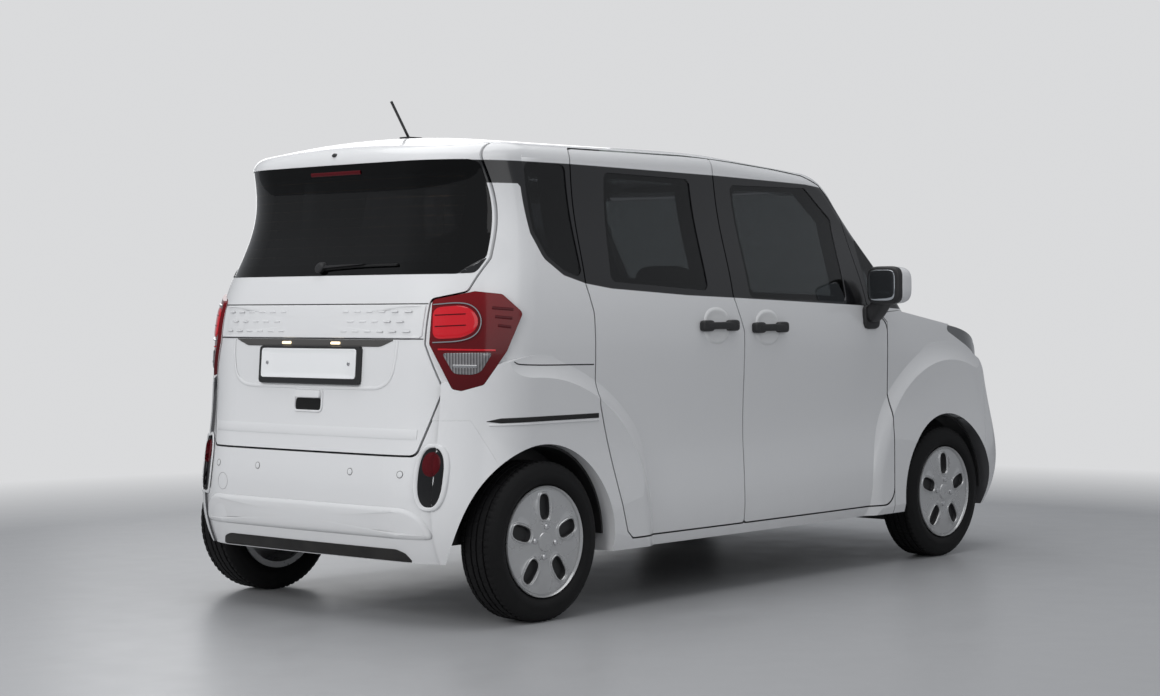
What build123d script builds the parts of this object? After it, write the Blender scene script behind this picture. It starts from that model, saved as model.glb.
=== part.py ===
from build123d import *
from collections import namedtuple
from math import cos, radians, sin
import os

# A small tall five-door car. Millimetres. +X is forward, +Y is left, +Z is up, and the origin lies on the
# ground under the middle of the car.
LENGTH = 3595
WHEELBASE = 2520
REAR_OVERHANG = 430
TRACK = 1392
REAR_AXLE_X = REAR_OVERHANG - LENGTH / 2
FRONT_AXLE_X = REAR_AXLE_X + WHEELBASE
WHEEL_Y = TRACK / 2

TYRE_R = 277
TYRE_W = 165
RIM_R = 182
RIM_W = 150
COVER_R = 193
COVER_Y = 78
HUB_R = 30
HUB_PLAY = 0.08
ARCH_R = 335
FLARE_Y = 797.5

SEAM = 6
DOOR_DEPTH = 62
FRAME_DEPTH = 72
FRAME_INNER = 112
SHELL_DEPTH = 45
GLASS_OUT = 4
GLASS_IN = 9
SEAT_GAP = 0.4
FLANK_Y = 535
DOOR_Y = 582

KINGPIN_LEAN = 0.2295
BALL_Y = 640
BALL_Z = 190
STRUT_TOP_Z = 800

# The body in plan at rising heights: each row is one level of the loft.
Level = namedtuple("Level", "z half_width rear_x rear_r front_x front_r rear_taper front_taper")
PLAN = [
    Level(200, 762, -1738, 300, 1715, 300, 30, 40),
    Level(320, 781, -1782, 330, 1775, 340, 30, 20),
    Level(520, 768, -1792, 350, 1792, 350, 30, 12),
    Level(800, 772, -1756, 350, 1735, 350, 40, 45),
    Level(1060, 772, -1728, 350, 1650, 350, 40, 60),
    Level(1190, 750, -1690, 345, 1560, 330, 40, 70),
    Level(1590, 667, -1630, 300, 1400, 300, 36, 60),
    Level(1760, 630, -1600, 290, 1330, 300, 36, 60),
]
REAR_BOW = 18
FRONT_BOW = 45
SIDE_MID_X = -300

# The centre line of bonnet, windscreen and roof, with the way each corner moves for an inner skin.
Knot = namedtuple("Knot", "x z in_x in_z blend")
ROOFLINE = [
    Knot(2000, 100, 0, 0, 0),
    Knot(2000, 660, 0, -1, 0),
    Knot(1760, 870, -0.5, -0.9, 160),
    Knot(1400, 1035, -0.25, -0.98, 900),
    Knot(900, 1112, -0.5, -0.9, 0),
    Knot(436, 1645, -0.5, -0.9, 260),
    Knot(-350, 1700, 0, -1, 2500),
    Knot(-1400, 1696, 0, -1, 500),
    Knot(-1680, 1640, 0, -1, 0),
    Knot(-2000, 1570, 0, -1, 0),
    Knot(-2000, 100, 0, 0, 0),
]
CROWN_Z = -3000
CROWN_HALF_DEG = 16
CANTRAIL_R = 60

os.makedirs("parts", exist_ok=True)


def envelope(side, end):
    """The closed body, drawn in by side at its flanks and by end at its nose and tail."""
    with BuildPart() as body:
        for level in PLAN:
            flank = level.half_width - side
            tail = level.rear_x + end
            nose = level.front_x - end
            rear = (tail + REAR_BOW, flank - level.rear_taper)
            front = (nose - FRONT_BOW, flank - level.front_taper)
            with BuildSketch(Plane.XY.offset(level.z)) as plan:
                with BuildLine():
                    ThreePointArc((rear[0], -rear[1]), (tail, 0), rear)
                    ThreePointArc(rear, (SIDE_MID_X, flank), front)
                    ThreePointArc(front, (nose, 0), (front[0], -front[1]))
                    ThreePointArc((front[0], -front[1]), (SIDE_MID_X, -flank), (rear[0], -rear[1]))
                make_face()
                fillet(plan.vertices().group_by(Axis.X)[0], level.rear_r - end)
                fillet(plan.vertices().group_by(Axis.X)[-1], level.front_r - end)
        loft()
        turn = radians(CROWN_HALF_DEG)
        with BuildSketch(Plane((0, 0, CROWN_Z), x_dir=(1, 0, 0), z_dir=(0, -cos(turn), sin(turn)))):
            with BuildLine():
                FilletPolyline(
                    *[(k.x + side * k.in_x, k.z + side * k.in_z - CROWN_Z) for k in ROOFLINE],
                    radius=[k.blend for k in ROOFLINE],
                    close=True,
                )
            make_face()
        revolve(
            axis=Axis((0, 0, CROWN_Z), (1, 0, 0)),
            revolution_arc=2 * CROWN_HALF_DEG,
            mode=Mode.INTERSECT,
        )
    return body.part


def prism(points, radii, plane, start, depth):
    """A straight bar with a rounded outline, drawn on a plane and running along its normal."""
    with BuildPart() as bar:
        with BuildSketch(plane.offset(start)):
            with BuildLine():
                FilletPolyline(*points, radius=radii, close=True)
            make_face()
        extrude(amount=depth)
    return bar.part


def grown(points, by):
    """The same corners moved out from their outline by a distance, for seams and glass rebates."""
    corners = [Vector(*p) for p in points]
    count = len(corners)
    area = sum(corners[i].X * corners[i - 1].Y - corners[i - 1].X * corners[i].Y for i in range(count))
    way = by if area < 0 else -by
    moved = []
    for i in range(count):
        before = (corners[i] - corners[i - 1]).normalized()
        after = (corners[(i + 1) % count] - corners[i]).normalized()
        left = Vector(before.Y, -before.X)
        right = Vector(after.Y, -after.X)
        middle = (left + right).normalized()
        reach = way / max(middle.dot(left), 0.35)
        moved.append((corners[i].X + middle.X * reach, corners[i].Y + middle.Y * reach))
    return moved


# Skins of the body, from the outer one inwards.
with BuildPart() as outer_block:
    add(envelope(0, 0))
    rim = [e for e in outer_block.edges() if e.center().Z > 1500 and e.bounding_box().min.Z > 1400]
    rim = [e for e in rim if e.bounding_box().size.X > 0.5 or e.length < 5]
    fillet([e for e in rim if abs(e.center().Y) > 300 or e.center().X < -1500], CANTRAIL_R)
    flare_limit = envelope(-28, 6)
    for axle_x in (FRONT_AXLE_X, REAR_AXLE_X):
        with BuildPart(mode=Mode.PRIVATE) as flare:
            with BuildSketch(Plane((axle_x, 0, TYRE_R))):
                with BuildLine():
                    Polyline((0, 600), (0, FLARE_Y), (500, FLARE_Y))
                    lip = TangentArc((500, FLARE_Y), (560, FLARE_Y - 17.5), tangent=(1, 0))
                    TangentArc(lip @ 1, (640, FLARE_Y - 42.5), tangent=lip % 1)
                    Polyline((640, FLARE_Y - 42.5), (640, 600), (0, 600))
                make_face()
            revolve(axis=Axis((axle_x, 0, TYRE_R), (0, 1, 0)))
            add(flare_limit, mode=Mode.INTERSECT)
            mirror(about=Plane.XZ)
        add(flare.part)
    for axle_x in (FRONT_AXLE_X, REAR_AXLE_X):
        for side in (-1, 1):
            with BuildSketch(Plane((axle_x, side * 430, TYRE_R), x_dir=(1, 0, 0), z_dir=(0, side, 0))):
                Circle(ARCH_R)
            extrude(amount=500, mode=Mode.SUBTRACT)
outer = outer_block.part

glass_face = envelope(GLASS_OUT, GLASS_OUT)
glass_back = envelope(GLASS_IN, GLASS_IN)
glass_seat = envelope(GLASS_IN + SEAT_GAP, GLASS_IN + SEAT_GAP)
shell_back = envelope(SHELL_DEPTH, SHELL_DEPTH)
door_back = envelope(DOOR_DEPTH, DOOR_DEPTH)
frame_face = envelope(FRAME_DEPTH, FRAME_DEPTH)
frame_back = envelope(FRAME_INNER, FRAME_INNER)

# Side view outlines, corners as (x, z) on the right flank; seams run along shared corners.
FRONT_DOOR = [(-262, 255), (735, 255), (735, 1003), (594, 1082), (540, 1437), (408, 1564), (300, 1600),
              (125, 1617), (-131, 1633), (-303, 1643), (-303, 1120), (-250, 985), (-250, 500)]
FRONT_DOOR_R = [12, 70, 60, 8, 60, 20, 40, 60, 60, 8, 30, 60, 60]
REAR_DOOR = [(-262, 255), (-250, 500), (-250, 985), (-303, 1120), (-303, 1643), (-458, 1646), (-1097, 1646),
             (-1118, 1165), (-1092, 1060), (-1089, 740), (-963, 281), (-935, 255)]
REAR_DOOR_R = [12, 60, 60, 30, 8, 60, 25, 30, 40, 80, 12, 12]
FRONT_OPENING = [(-215, 330), (640, 330), (684, 420), (684, 980), (552, 1060), (500, 1400), (385, 1510),
                 (-131, 1582), (-255, 1588), (-255, 1130), (-203, 985)]
REAR_OPENING = [(-305, 330), (-297, 985), (-350, 1130), (-350, 1590), (-1045, 1590), (-1066, 1170), (-1040, 1060),
                (-1037, 750), (-925, 400), (-905, 330)]
FRONT_GLASS = [(-200, 1112), (-206, 1543), (298, 1549), (464, 1425), (450, 1092)]
REAR_GLASS = [(-985, 1172), (-926, 1565), (-451, 1557), (-448, 1138)]
QUARTER_GLASS = [(-1130, 1182), (-1128, 1585), (-1330, 1585), (-1325, 1350), (-1285, 1262), (-1215, 1210)]
CORNER_GLASS = [(612, 1098), (604, 1372), (812, 1094)]
GLASS_R = 26
ROOF_EDGE = [(-1434, 1649), (-458, 1649), (-131, 1636), (125, 1620), (300, 1603), (421, 1569), (545, 1548)]
SIDE_FRONT = [(735, 216), (735, 1006), (678, 1047), (904, 1061), (904, 1150), (680, 1548)]
FENDER = [(738, 216), (738, 1009), (690, 1044), (905, 1058), (1580, 1070), (1520, 800), (1435, 430), (1435, 216)]
REAR_BUMPER = [(-1900, 702), (-1640, 702), (-1585, 585), (-1500, 400), (-1500, 216), (-1900, 216)]

# Rear view and front view outlines, corners as (y, z).
GATE_HALF = [(530, 582), (600, 806), (538, 960), (538, 1108), (636, 1137), (655, 1248), (597, 1590), (560, 1780)]
GATE_HALF_R = [30, 30, 20, 16, 16, 60, 200, 0]
GATE_FOOT_HALF = [(534, 578), (605, 806)]
GATE_GLASS_HALF = [(600, 1198), (646, 1252), (590, 1592)]
GATE_WINDOW_HALF = [(560, 1245), (596, 1290), (545, 1545)]
SCREEN_HALF = [(350, 1120), (690, 1073), (612, 1545)]
SCREEN_MID_Z = 1136
GATE_TOP_X = -1440

# Lamp outlines drawn square to the car's corners, corners as (across, z).
TAIL_LAMP = [(-802, 1110), (-658, 1138), (-565, 1128), (-494, 1064), (-551, 934), (-631, 822), (-707, 802),
             (-738, 808), (-814, 960)]
HEADLAMP = [(285, 992), (470, 990), (700, 935), (905, 872), (915, 790), (800, 760), (620, 805)]
LAMP_R = 18
LAMP_PROUD = 12
TAIL_PLANE = Plane((0, 0, 0), x_dir=(1, -1, 0), z_dir=(-1, -1, 0))
HEAD_PLANE = Plane((0, 0, 0), x_dir=(1, 1, 0), z_dir=(1, -1, 0))
BONNET = [(936, -690), (936, 690), (1300, 655), (1600, 560), (1730, 330), (1730, -330), (1600, -560), (1300, -655)]
BONNET_LOW = 866
BONNET_R = [10, 10, 200, 150, 100, 100, 150, 200]


def both(half):
    """A closed outline from its half with positive first coordinates."""
    return half + [(-y, z) for y, z in reversed(half)]


def side_prism(points, radii, by=0.0):
    """A side view outline run out to the right."""
    return prism(grown(points, by), radii, Plane.XZ, FLANK_Y, 1000 - FLANK_Y)


gate_outline = both(GATE_HALF)
gate_radii = GATE_HALF_R + GATE_HALF_R[::-1]
gate_cut = prism(grown(gate_outline, SEAM / 2), gate_radii, Plane.YZ, -1950, 1950 + GATE_TOP_X + SEAM)
gate_bar = prism(grown(gate_outline, -SEAM / 2), gate_radii, Plane.YZ, -1950, 1950 + GATE_TOP_X)
screen = [(0, SCREEN_MID_Z)] + SCREEN_HALF + [(-y, z) for y, z in reversed(SCREEN_HALF)]
screen_bar = prism(screen, 40, Plane.YZ, 300, 900)
screen_cut = prism(grown(screen, SEAT_GAP), 40, Plane.YZ, 300, 900)
tail_cut = prism(grown(TAIL_LAMP, SEAT_GAP), LAMP_R, TAIL_PLANE, 1250, 700)
tail_clear = prism(grown(TAIL_LAMP, SEAM), LAMP_R, TAIL_PLANE, 1250, 700)
head_cut = prism(grown(HEADLAMP, SEAT_GAP), LAMP_R, HEAD_PLANE, 1200, 700)
bonnet_cut = prism(grown(BONNET, SEAM / 2), BONNET_R, Plane.XY, BONNET_LOW - SEAM, 500)

# Body sides: sill, pillars, cantrail and rear quarter round the door openings. Only the left one has a
# pillar between its doors.
side_outline = SIDE_FRONT + [(x, z - SEAT_GAP) for x, z in reversed(ROOF_EDGE)] + [(-1900, 1649), (-1900, 216)]
with BuildPart() as side_block:
    with BuildSketch(Plane.XZ.offset(FLANK_Y)):
        with BuildLine():
            Polyline(*side_outline, close=True)
        make_face()
    extrude(amount=1000 - FLANK_Y)
    add(outer, mode=Mode.INTERSECT)
    add(frame_back, mode=Mode.SUBTRACT)
    for outline, radii, opening in (
        (FRONT_DOOR, FRONT_DOOR_R, FRONT_OPENING),
        (REAR_DOOR, REAR_DOOR_R, REAR_OPENING),
    ):
        with BuildPart(mode=Mode.PRIVATE) as rebate:
            add(side_prism(outline, radii, SEAM / 2))
            add(frame_face, mode=Mode.SUBTRACT)
        add(rebate.part, mode=Mode.SUBTRACT)
        add(side_prism(opening, 25), mode=Mode.SUBTRACT)
    with BuildPart(mode=Mode.PRIVATE) as panes:
        add(side_prism(QUARTER_GLASS, GLASS_R, 1))
        add(side_prism(CORNER_GLASS, 14, 1))
        add(glass_seat, mode=Mode.SUBTRACT)
        add(side_prism(QUARTER_GLASS, 8, -22))
        add(side_prism(CORNER_GLASS, 8, -16))
    add(panes.part, mode=Mode.SUBTRACT)
    add(gate_cut, mode=Mode.SUBTRACT)
    add(screen_cut, mode=Mode.SUBTRACT)
    add(tail_cut, mode=Mode.SUBTRACT)
    add(side_prism(REAR_BUMPER, 0, SEAT_GAP), mode=Mode.SUBTRACT)
side_solid = side_block.part.solids().sort_by(SortBy.VOLUME)[-1]

with BuildPart() as body_side_left:
    add(side_solid)
    mirror(about=Plane.XZ, mode=Mode.REPLACE)

with BuildPart() as body_side_right:
    add(side_solid)
    with Locations((-280, -690, 945)):
        Box(150, 600, 1230, mode=Mode.SUBTRACT)

# Doors: each is cut from the flank, as deep as a whole door, with a rebate for its glass.
with BuildPart() as flank_block:
    add(outer)
    with Locations((-190, -DOOR_Y, 950)):
        Box(1900, 400, 1500, align=(Align.CENTER, Align.MAX, Align.CENTER), mode=Mode.INTERSECT)
    add(door_back, mode=Mode.SUBTRACT)
flank = flank_block.part

door_parts = {}
for door_name, outline, radii, window in (
    ("front", FRONT_DOOR, FRONT_DOOR_R, FRONT_GLASS),
    ("rear", REAR_DOOR, REAR_DOOR_R, REAR_GLASS),
):
    with BuildPart() as door:
        add(side_prism(outline, radii, -SEAM / 2))
        add(flank, mode=Mode.INTERSECT)
        with BuildPart(mode=Mode.PRIVATE) as pane_cut:
            add(side_prism(window, GLASS_R, 0.5))
            add(glass_seat, mode=Mode.SUBTRACT)
            add(side_prism(window, GLASS_R, -20))
        add(pane_cut.part, mode=Mode.SUBTRACT)
    with BuildPart() as pane:
        add(side_prism(window, GLASS_R))
        add(glass_face, mode=Mode.INTERSECT)
        add(glass_back, mode=Mode.SUBTRACT)
    door_parts[door_name] = (door.part, pane.part)

with BuildPart() as side_panes:
    for window, corner_r in ((QUARTER_GLASS, GLASS_R), (CORNER_GLASS, 14)):
        with BuildPart(mode=Mode.PRIVATE) as pane:
            add(side_prism(window, corner_r))
            add(glass_face, mode=Mode.INTERSECT)
            add(glass_back, mode=Mode.SUBTRACT)
        add(pane.part)
    mirror(about=Plane.XZ)

# Tail: the gate with its glass, the lamps on the corners and the bumper below.
with BuildPart() as tail_block:
    add(outer)
    with Locations((-1680, 0, 950)):
        Box(560, 1700, 1600, mode=Mode.INTERSECT)
    add(door_back, mode=Mode.SUBTRACT)
tail = tail_block.part

gate_glass_outline = both(GATE_GLASS_HALF)
with BuildPart() as tailgate:
    add(gate_bar)
    add(tail, mode=Mode.INTERSECT)
    add(tail_clear, mode=Mode.SUBTRACT)
    add(mirror(tail_clear, about=Plane.XZ), mode=Mode.SUBTRACT)
    add(prism(both(GATE_WINDOW_HALF), 20, Plane.YZ, -1950, 700), mode=Mode.SUBTRACT)
    with BuildPart(mode=Mode.PRIVATE) as pane_cut:
        add(prism(grown(gate_glass_outline, 0.5), 30, Plane.YZ, -1950, 700))
        add(glass_seat, mode=Mode.SUBTRACT)
    add(pane_cut.part, mode=Mode.SUBTRACT)

with BuildPart() as tailgate_glass:
    add(prism(gate_glass_outline, 30, Plane.YZ, -1950, 700))
    add(glass_face, mode=Mode.INTERSECT)
    add(glass_back, mode=Mode.SUBTRACT)

with BuildPart() as tail_lamps:
    add(prism(TAIL_LAMP, LAMP_R, TAIL_PLANE, 1250, 700))
    add(envelope(-LAMP_PROUD, -LAMP_PROUD), mode=Mode.INTERSECT)
    add(shell_back, mode=Mode.SUBTRACT)
    mirror(about=Plane.XZ)

bumper_wing = prism(REAR_BUMPER, 0, Plane.XZ, -900, 1800)
with BuildPart() as rear_bumper:
    add(bumper_wing)
    add(prism(both(GATE_FOOT_HALF), 30, Plane.YZ, -1950, 500), mode=Mode.SUBTRACT)
    add(tail, mode=Mode.INTERSECT)

# Roof, windscreen and cowl.
with BuildPart() as roof:
    with BuildSketch(Plane.XZ.offset(-800)):
        with BuildLine():
            Polyline(*ROOF_EDGE, (700, 1548), (700, 1800), (ROOF_EDGE[0][0], 1800), close=True)
        make_face()
    extrude(amount=1600)
    add(outer, mode=Mode.INTERSECT)
    add(shell_back, mode=Mode.SUBTRACT)

with BuildPart() as windscreen:
    add(screen_bar)
    add(glass_face, mode=Mode.INTERSECT)
    add(glass_back, mode=Mode.SUBTRACT)

with BuildPart() as cowl:
    with Locations((890, 0, 1070)):
        Box(80, 2 * FLANK_Y - 4, 160)
    add(outer, mode=Mode.INTERSECT)
    add(shell_back, mode=Mode.SUBTRACT)
    add(screen_cut, mode=Mode.SUBTRACT)

# Nose: bonnet, fenders, headlamps, bumper and grille.
with BuildPart() as nose_block:
    add(outer)
    with Locations((1250, 0, 750)):
        Box(1140, 1700, 1100, mode=Mode.INTERSECT)
    add(shell_back, mode=Mode.SUBTRACT)
nose = nose_block.part
head_cuts = [head_cut, mirror(head_cut, about=Plane.XZ)]

with BuildPart() as bonnet:
    add(prism(grown(BONNET, -SEAM / 2), BONNET_R, Plane.XY, BONNET_LOW, 400))
    add(nose, mode=Mode.INTERSECT)

with BuildPart() as front_fenders:
    add(side_prism(FENDER, 0))
    add(nose, mode=Mode.INTERSECT)
    add(bonnet_cut, mode=Mode.SUBTRACT)
    add(head_cut, mode=Mode.SUBTRACT)
    mirror(about=Plane.XZ)

with BuildPart() as headlamps:
    add(prism(HEADLAMP, LAMP_R, HEAD_PLANE, 1200, 700))
    add(glass_face, mode=Mode.INTERSECT)
    add(shell_back, mode=Mode.SUBTRACT)
    add(bonnet_cut, mode=Mode.SUBTRACT)
    mirror(about=Plane.XZ)

GRILLE_Z = 700
GRILLE_W = 900
GRILLE_H = 90
with BuildPart() as front_bumper:
    add(nose)
    with Locations((1600, 0, 560)):
        Box(800, 1700, 900, mode=Mode.INTERSECT)
    for flank_cut in (side_prism(FENDER, 0, SEAT_GAP), mirror(side_prism(FENDER, 0, SEAT_GAP), about=Plane.XZ)):
        add(flank_cut, mode=Mode.SUBTRACT)
    add(bonnet_cut, mode=Mode.SUBTRACT)
    add(head_cuts, mode=Mode.SUBTRACT)
    with Locations((1720, 0, GRILLE_Z)):
        Box(240, GRILLE_W + 1, GRILLE_H + 1, mode=Mode.SUBTRACT)

with BuildPart() as grille:
    with Locations((1720, 0, GRILLE_Z)):
        Box(240, GRILLE_W, GRILLE_H)
    add(glass_back, mode=Mode.INTERSECT)
    add(shell_back, mode=Mode.SUBTRACT)

# Floor: a folded sheet from the toe board back over the rear axle, closed to the body sides.
FLOOR_T = 30
FLOOR_Z = 262
FLOOR_REAR_Z = 470
FLOOR_TOP = [(815, 1040), (815, 420), (700, FLOOR_Z), (-620, FLOOR_Z), (-760, FLOOR_REAR_Z), (-1650, FLOOR_REAR_Z)]
with BuildPart() as floor_pan:
    with BuildSketch(Plane.XZ.offset(-800)):
        with BuildLine():
            Polyline(*FLOOR_TOP, (-1650, FLOOR_REAR_Z - FLOOR_T), (-780, FLOOR_REAR_Z - FLOOR_T),
                     (-640, FLOOR_Z - FLOOR_T), (716, FLOOR_Z - FLOOR_T), (815 + FLOOR_T, 410),
                     (815 + FLOOR_T, 1040), close=True)
        make_face()
    extrude(amount=1600)
    add(envelope(FRAME_INNER + SEAT_GAP, FRAME_INNER + SEAT_GAP), mode=Mode.INTERSECT)
    for side in (-1, 1):
        with BuildSketch(Plane((REAR_AXLE_X, side * 590, TYRE_R), x_dir=(1, 0, 0), z_dir=(0, side, 0))):
            Circle(ARCH_R)
        extrude(amount=300, mode=Mode.SUBTRACT)

# Wheel liners: a half hoop over each wheel, closed inboard at the rear.
liner_limit = envelope(8, 8)
with BuildPart() as wheel_liners:
    for axle_x, inner_y, wall in ((FRONT_AXLE_X, 650, 0), (REAR_AXLE_X, 600, 8)):
        with BuildPart(mode=Mode.PRIVATE) as liner:
            with BuildSketch(Plane((axle_x, -inner_y, TYRE_R), x_dir=(1, 0, 0), z_dir=(0, -1, 0))):
                Circle(ARCH_R - 1)
                Rectangle(2 * ARCH_R, ARCH_R, align=(Align.CENTER, Align.MAX), mode=Mode.SUBTRACT)
            extrude(amount=740 - inner_y)
            with BuildSketch(Plane((axle_x, -inner_y - wall, TYRE_R), x_dir=(1, 0, 0), z_dir=(0, -1, 0))):
                Circle(ARCH_R - 9)
            extrude(amount=400, mode=Mode.SUBTRACT)
            with BuildSketch(Plane((axle_x, -inner_y, TYRE_R), x_dir=(1, 0, 0), z_dir=(0, -1, 0))):
                Circle(80)
            extrude(amount=100, mode=Mode.SUBTRACT)
            add(liner_limit, mode=Mode.INTERSECT)
        add(liner.part)
    mirror(about=Plane.XZ)

# Wheels: rim with a dished cover on the outside, a bored hub, and the tyre round it.
with BuildPart() as rim:
    with BuildSketch(Plane.XY):
        with BuildLine():
            Polyline((HUB_R + HUB_PLAY, -30), (HUB_R + HUB_PLAY, 40), (70, 48), (70, 56), (150, 62), (RIM_R - 14, 62),
                     (RIM_R - 14, 74), (RIM_R - 6, COVER_Y), (COVER_R, RIM_W / 2), (COVER_R, RIM_W / 2 - 8),
                     (RIM_R, RIM_W / 2 - 16), (RIM_R, 20 - RIM_W / 2), (COVER_R, 10 - RIM_W / 2),
                     (COVER_R, -RIM_W / 2), (RIM_R - 12, -RIM_W / 2), (RIM_R - 12, 44), (74, 36), (74, -30), close=True)
        make_face()
    revolve(axis=Axis.Y)

with BuildPart() as tyre:
    half = TYRE_W / 2
    with BuildSketch(Plane.XY):
        with BuildLine():
            Polyline((RIM_R + 0.3, RIM_W / 2 - 16), (RIM_R + 0.3, 20 - RIM_W / 2))
            Line((RIM_R + 0.3, 20 - RIM_W / 2), (COVER_R + 0.6, 10 - RIM_W / 2))
            ThreePointArc((COVER_R + 0.6, 10 - RIM_W / 2), (228, -half), (TYRE_R - 14, -70))
            ThreePointArc((TYRE_R - 14, -70), (TYRE_R - 4, -62), (TYRE_R, -48))
            Line((TYRE_R, -48), (TYRE_R, 48))
            ThreePointArc((TYRE_R, 48), (TYRE_R - 4, 62), (TYRE_R - 14, 70))
            ThreePointArc((TYRE_R - 14, 70), (228, half), (COVER_R + 0.6, RIM_W / 2 - 8))
            Line((COVER_R + 0.6, RIM_W / 2 - 8), (RIM_R + 0.3, RIM_W / 2 - 16))
        make_face()
    revolve(axis=Axis.Y)

# Front knuckles: a leaning strut on the steering axis, an upright and the stub the wheel turns on.
strut_dir = Vector(0, KINGPIN_LEAN, 1).normalized()
with BuildPart() as knuckle:
    ball = Vector(FRONT_AXLE_X, -BALL_Y, BALL_Z)
    with BuildSketch(Plane(ball - strut_dir * 14, x_dir=(1, 0, 0), z_dir=strut_dir)):
        Circle(20)
    extrude(amount=300)
    strut_len = (STRUT_TOP_Z - BALL_Z) / strut_dir.Z
    with BuildSketch(Plane(ball + strut_dir * 200, x_dir=(1, 0, 0), z_dir=strut_dir)):
        Circle(24)
    extrude(amount=strut_len - 200)
    with BuildSketch(Plane(ball + strut_dir * 430, x_dir=(1, 0, 0), z_dir=strut_dir)):
        Circle(62)
    extrude(amount=8)
    with BuildSketch(Plane((FRONT_AXLE_X, -600, TYRE_R), x_dir=(1, 0, 0), z_dir=(0, -1, 0))):
        Circle(52)
    extrude(amount=50)
    with BuildSketch(Plane((FRONT_AXLE_X, -600, TYRE_R), x_dir=(1, 0, 0), z_dir=(0, -1, 0))):
        Circle(HUB_R)
    extrude(amount=130)

# Rear axle: trailing arms, a twist beam, stubs, springs' seats and dampers.
with BuildPart() as rear_axle:
    with Locations((REAR_AXLE_X + 230, 0, 262)):
        Box(90, 1060, 60)
    for side in (-1, 1):
        with Locations((REAR_AXLE_X + 190, side * 545, 262)):
            Box(470, 50, 60)
        with BuildSketch(Plane((REAR_AXLE_X, side * 530, TYRE_R), x_dir=(1, 0, 0), z_dir=(0, side, 0))):
            Circle(58)
        extrude(amount=115)
        with BuildSketch(Plane((REAR_AXLE_X, side * 530, TYRE_R), x_dir=(1, 0, 0), z_dir=(0, side, 0))):
            Circle(HUB_R)
        extrude(amount=200)
        with BuildSketch(Plane((REAR_AXLE_X + 120, side * 480, 280))):
            Circle(55)
        extrude(amount=FLOOR_REAR_Z - FLOOR_T - SEAT_GAP - 280)

# Front cross-member with its legs under the floor and the lower arms, and the engine standing on it.
CROSS_TOP = 240
ENGINE_TOP = 798
with BuildPart() as front_suspension:
    with Locations((FRONT_AXLE_X - 40, 0, CROSS_TOP - 25)):
        Box(300, 720, 50)
    for side in (-1, 1):
        with Locations((810, side * 300, FLOOR_Z - FLOOR_T - SEAT_GAP - 20)):
            Box(340, 60, 40)
        with Locations((FRONT_AXLE_X, side * 485, 154)):
            Box(52, 320, 26)
        with Locations((FRONT_AXLE_X, side * 340, 180)):
            Box(120, 40, 60)
        joint_dir = Vector(0, -side * KINGPIN_LEAN, 1).normalized()
        joint_at = Vector(FRONT_AXLE_X, side * BALL_Y, BALL_Z) - joint_dir * 44
        with BuildSketch(Plane(joint_at, x_dir=(1, 0, 0), z_dir=joint_dir)):
            Circle(24)
        extrude(amount=44 - 14 - 0.1)

with BuildPart() as engine:
    with Locations((FRONT_AXLE_X + 30, -20, (ENGINE_TOP + CROSS_TOP + SEAT_GAP) / 2)):
        Box(420, 640, ENGINE_TOP - CROSS_TOP - SEAT_GAP)
    fillet(engine.edges().filter_by(Axis.Z), 40)

with BuildPart() as exhaust:
    with Locations((-1560, 250, 330)):
        Box(230, 420, 150)
    fillet(exhaust.edges().filter_by(Axis.Y), 50)
    hanger_top = FLOOR_REAR_Z - FLOOR_T - SEAT_GAP
    with Locations((-1560, 110, (400 + hanger_top) / 2), (-1560, 390, (400 + hanger_top) / 2)):
        Box(30, 24, hanger_top - 400)

with BuildPart() as fuel_tank:
    with Locations((-420, 0, 198)):
        Box(520, 900, 66)
    fillet(fuel_tank.edges().filter_by(Axis.Z), 60)

# Cabin.
cabin_limit = envelope(FRAME_INNER + 6, FRAME_INNER + 6)
with BuildPart() as dashboard:
    with BuildSketch(Plane.XZ.offset(-660)):
        with BuildLine():
            FilletPolyline((814.6, 640), (814.6, 1030), (700, 1050), (590, 1000), (566, 900), (610, 700),
                           radius=30, close=True)
        make_face()
    extrude(amount=1320)
    add(cabin_limit, mode=Mode.INTERSECT)

WHEEL_HUB = Vector(440, 350, 915)
COLUMN_DIR = Vector(-cos(radians(26)), 0, sin(radians(26)))
with BuildPart() as steering_wheel:
    with BuildSketch(Plane(WHEEL_HUB, x_dir=(0, 1, 0), z_dir=COLUMN_DIR)):
        Circle(60)
        Rectangle(330, 40)
    extrude(amount=24)
    with BuildSketch(Plane(WHEEL_HUB + COLUMN_DIR * 12, x_dir=(0, 1, 0), z_dir=(COLUMN_DIR.Z, 0, -COLUMN_DIR.X))):
        with Locations((172, 0)):
            Circle(15)
    revolve(axis=Axis(WHEEL_HUB, COLUMN_DIR))

with BuildPart() as column:
    with BuildSketch(Plane(WHEEL_HUB - COLUMN_DIR * 0.1, x_dir=(0, 1, 0), z_dir=-COLUMN_DIR)):
        Circle(30)
    extrude(amount=230)
    add(dashboard.part, mode=Mode.SUBTRACT)

with BuildPart() as front_seats:
    for side in (-1, 1):
        with BuildPart(mode=Mode.PRIVATE) as seat:
            with BuildSketch(Plane.XZ.offset(-side * 350 - 245)):
                with BuildLine():
                    FilletPolyline((330, 640), (320, 540), (-110, 500), (-150, 560), (-290, 1120), (-260, 1240),
                                   (-160, 1240), (-150, 1130), (-40, 640), radius=[40, 40, 40, 40, 30, 30, 40, 30, 60],
                                   close=True)
                make_face()
            extrude(amount=490)
        add(seat.part)
        with Locations((60, side * 350, 395)):
            Box(300, 380, 265)

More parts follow.
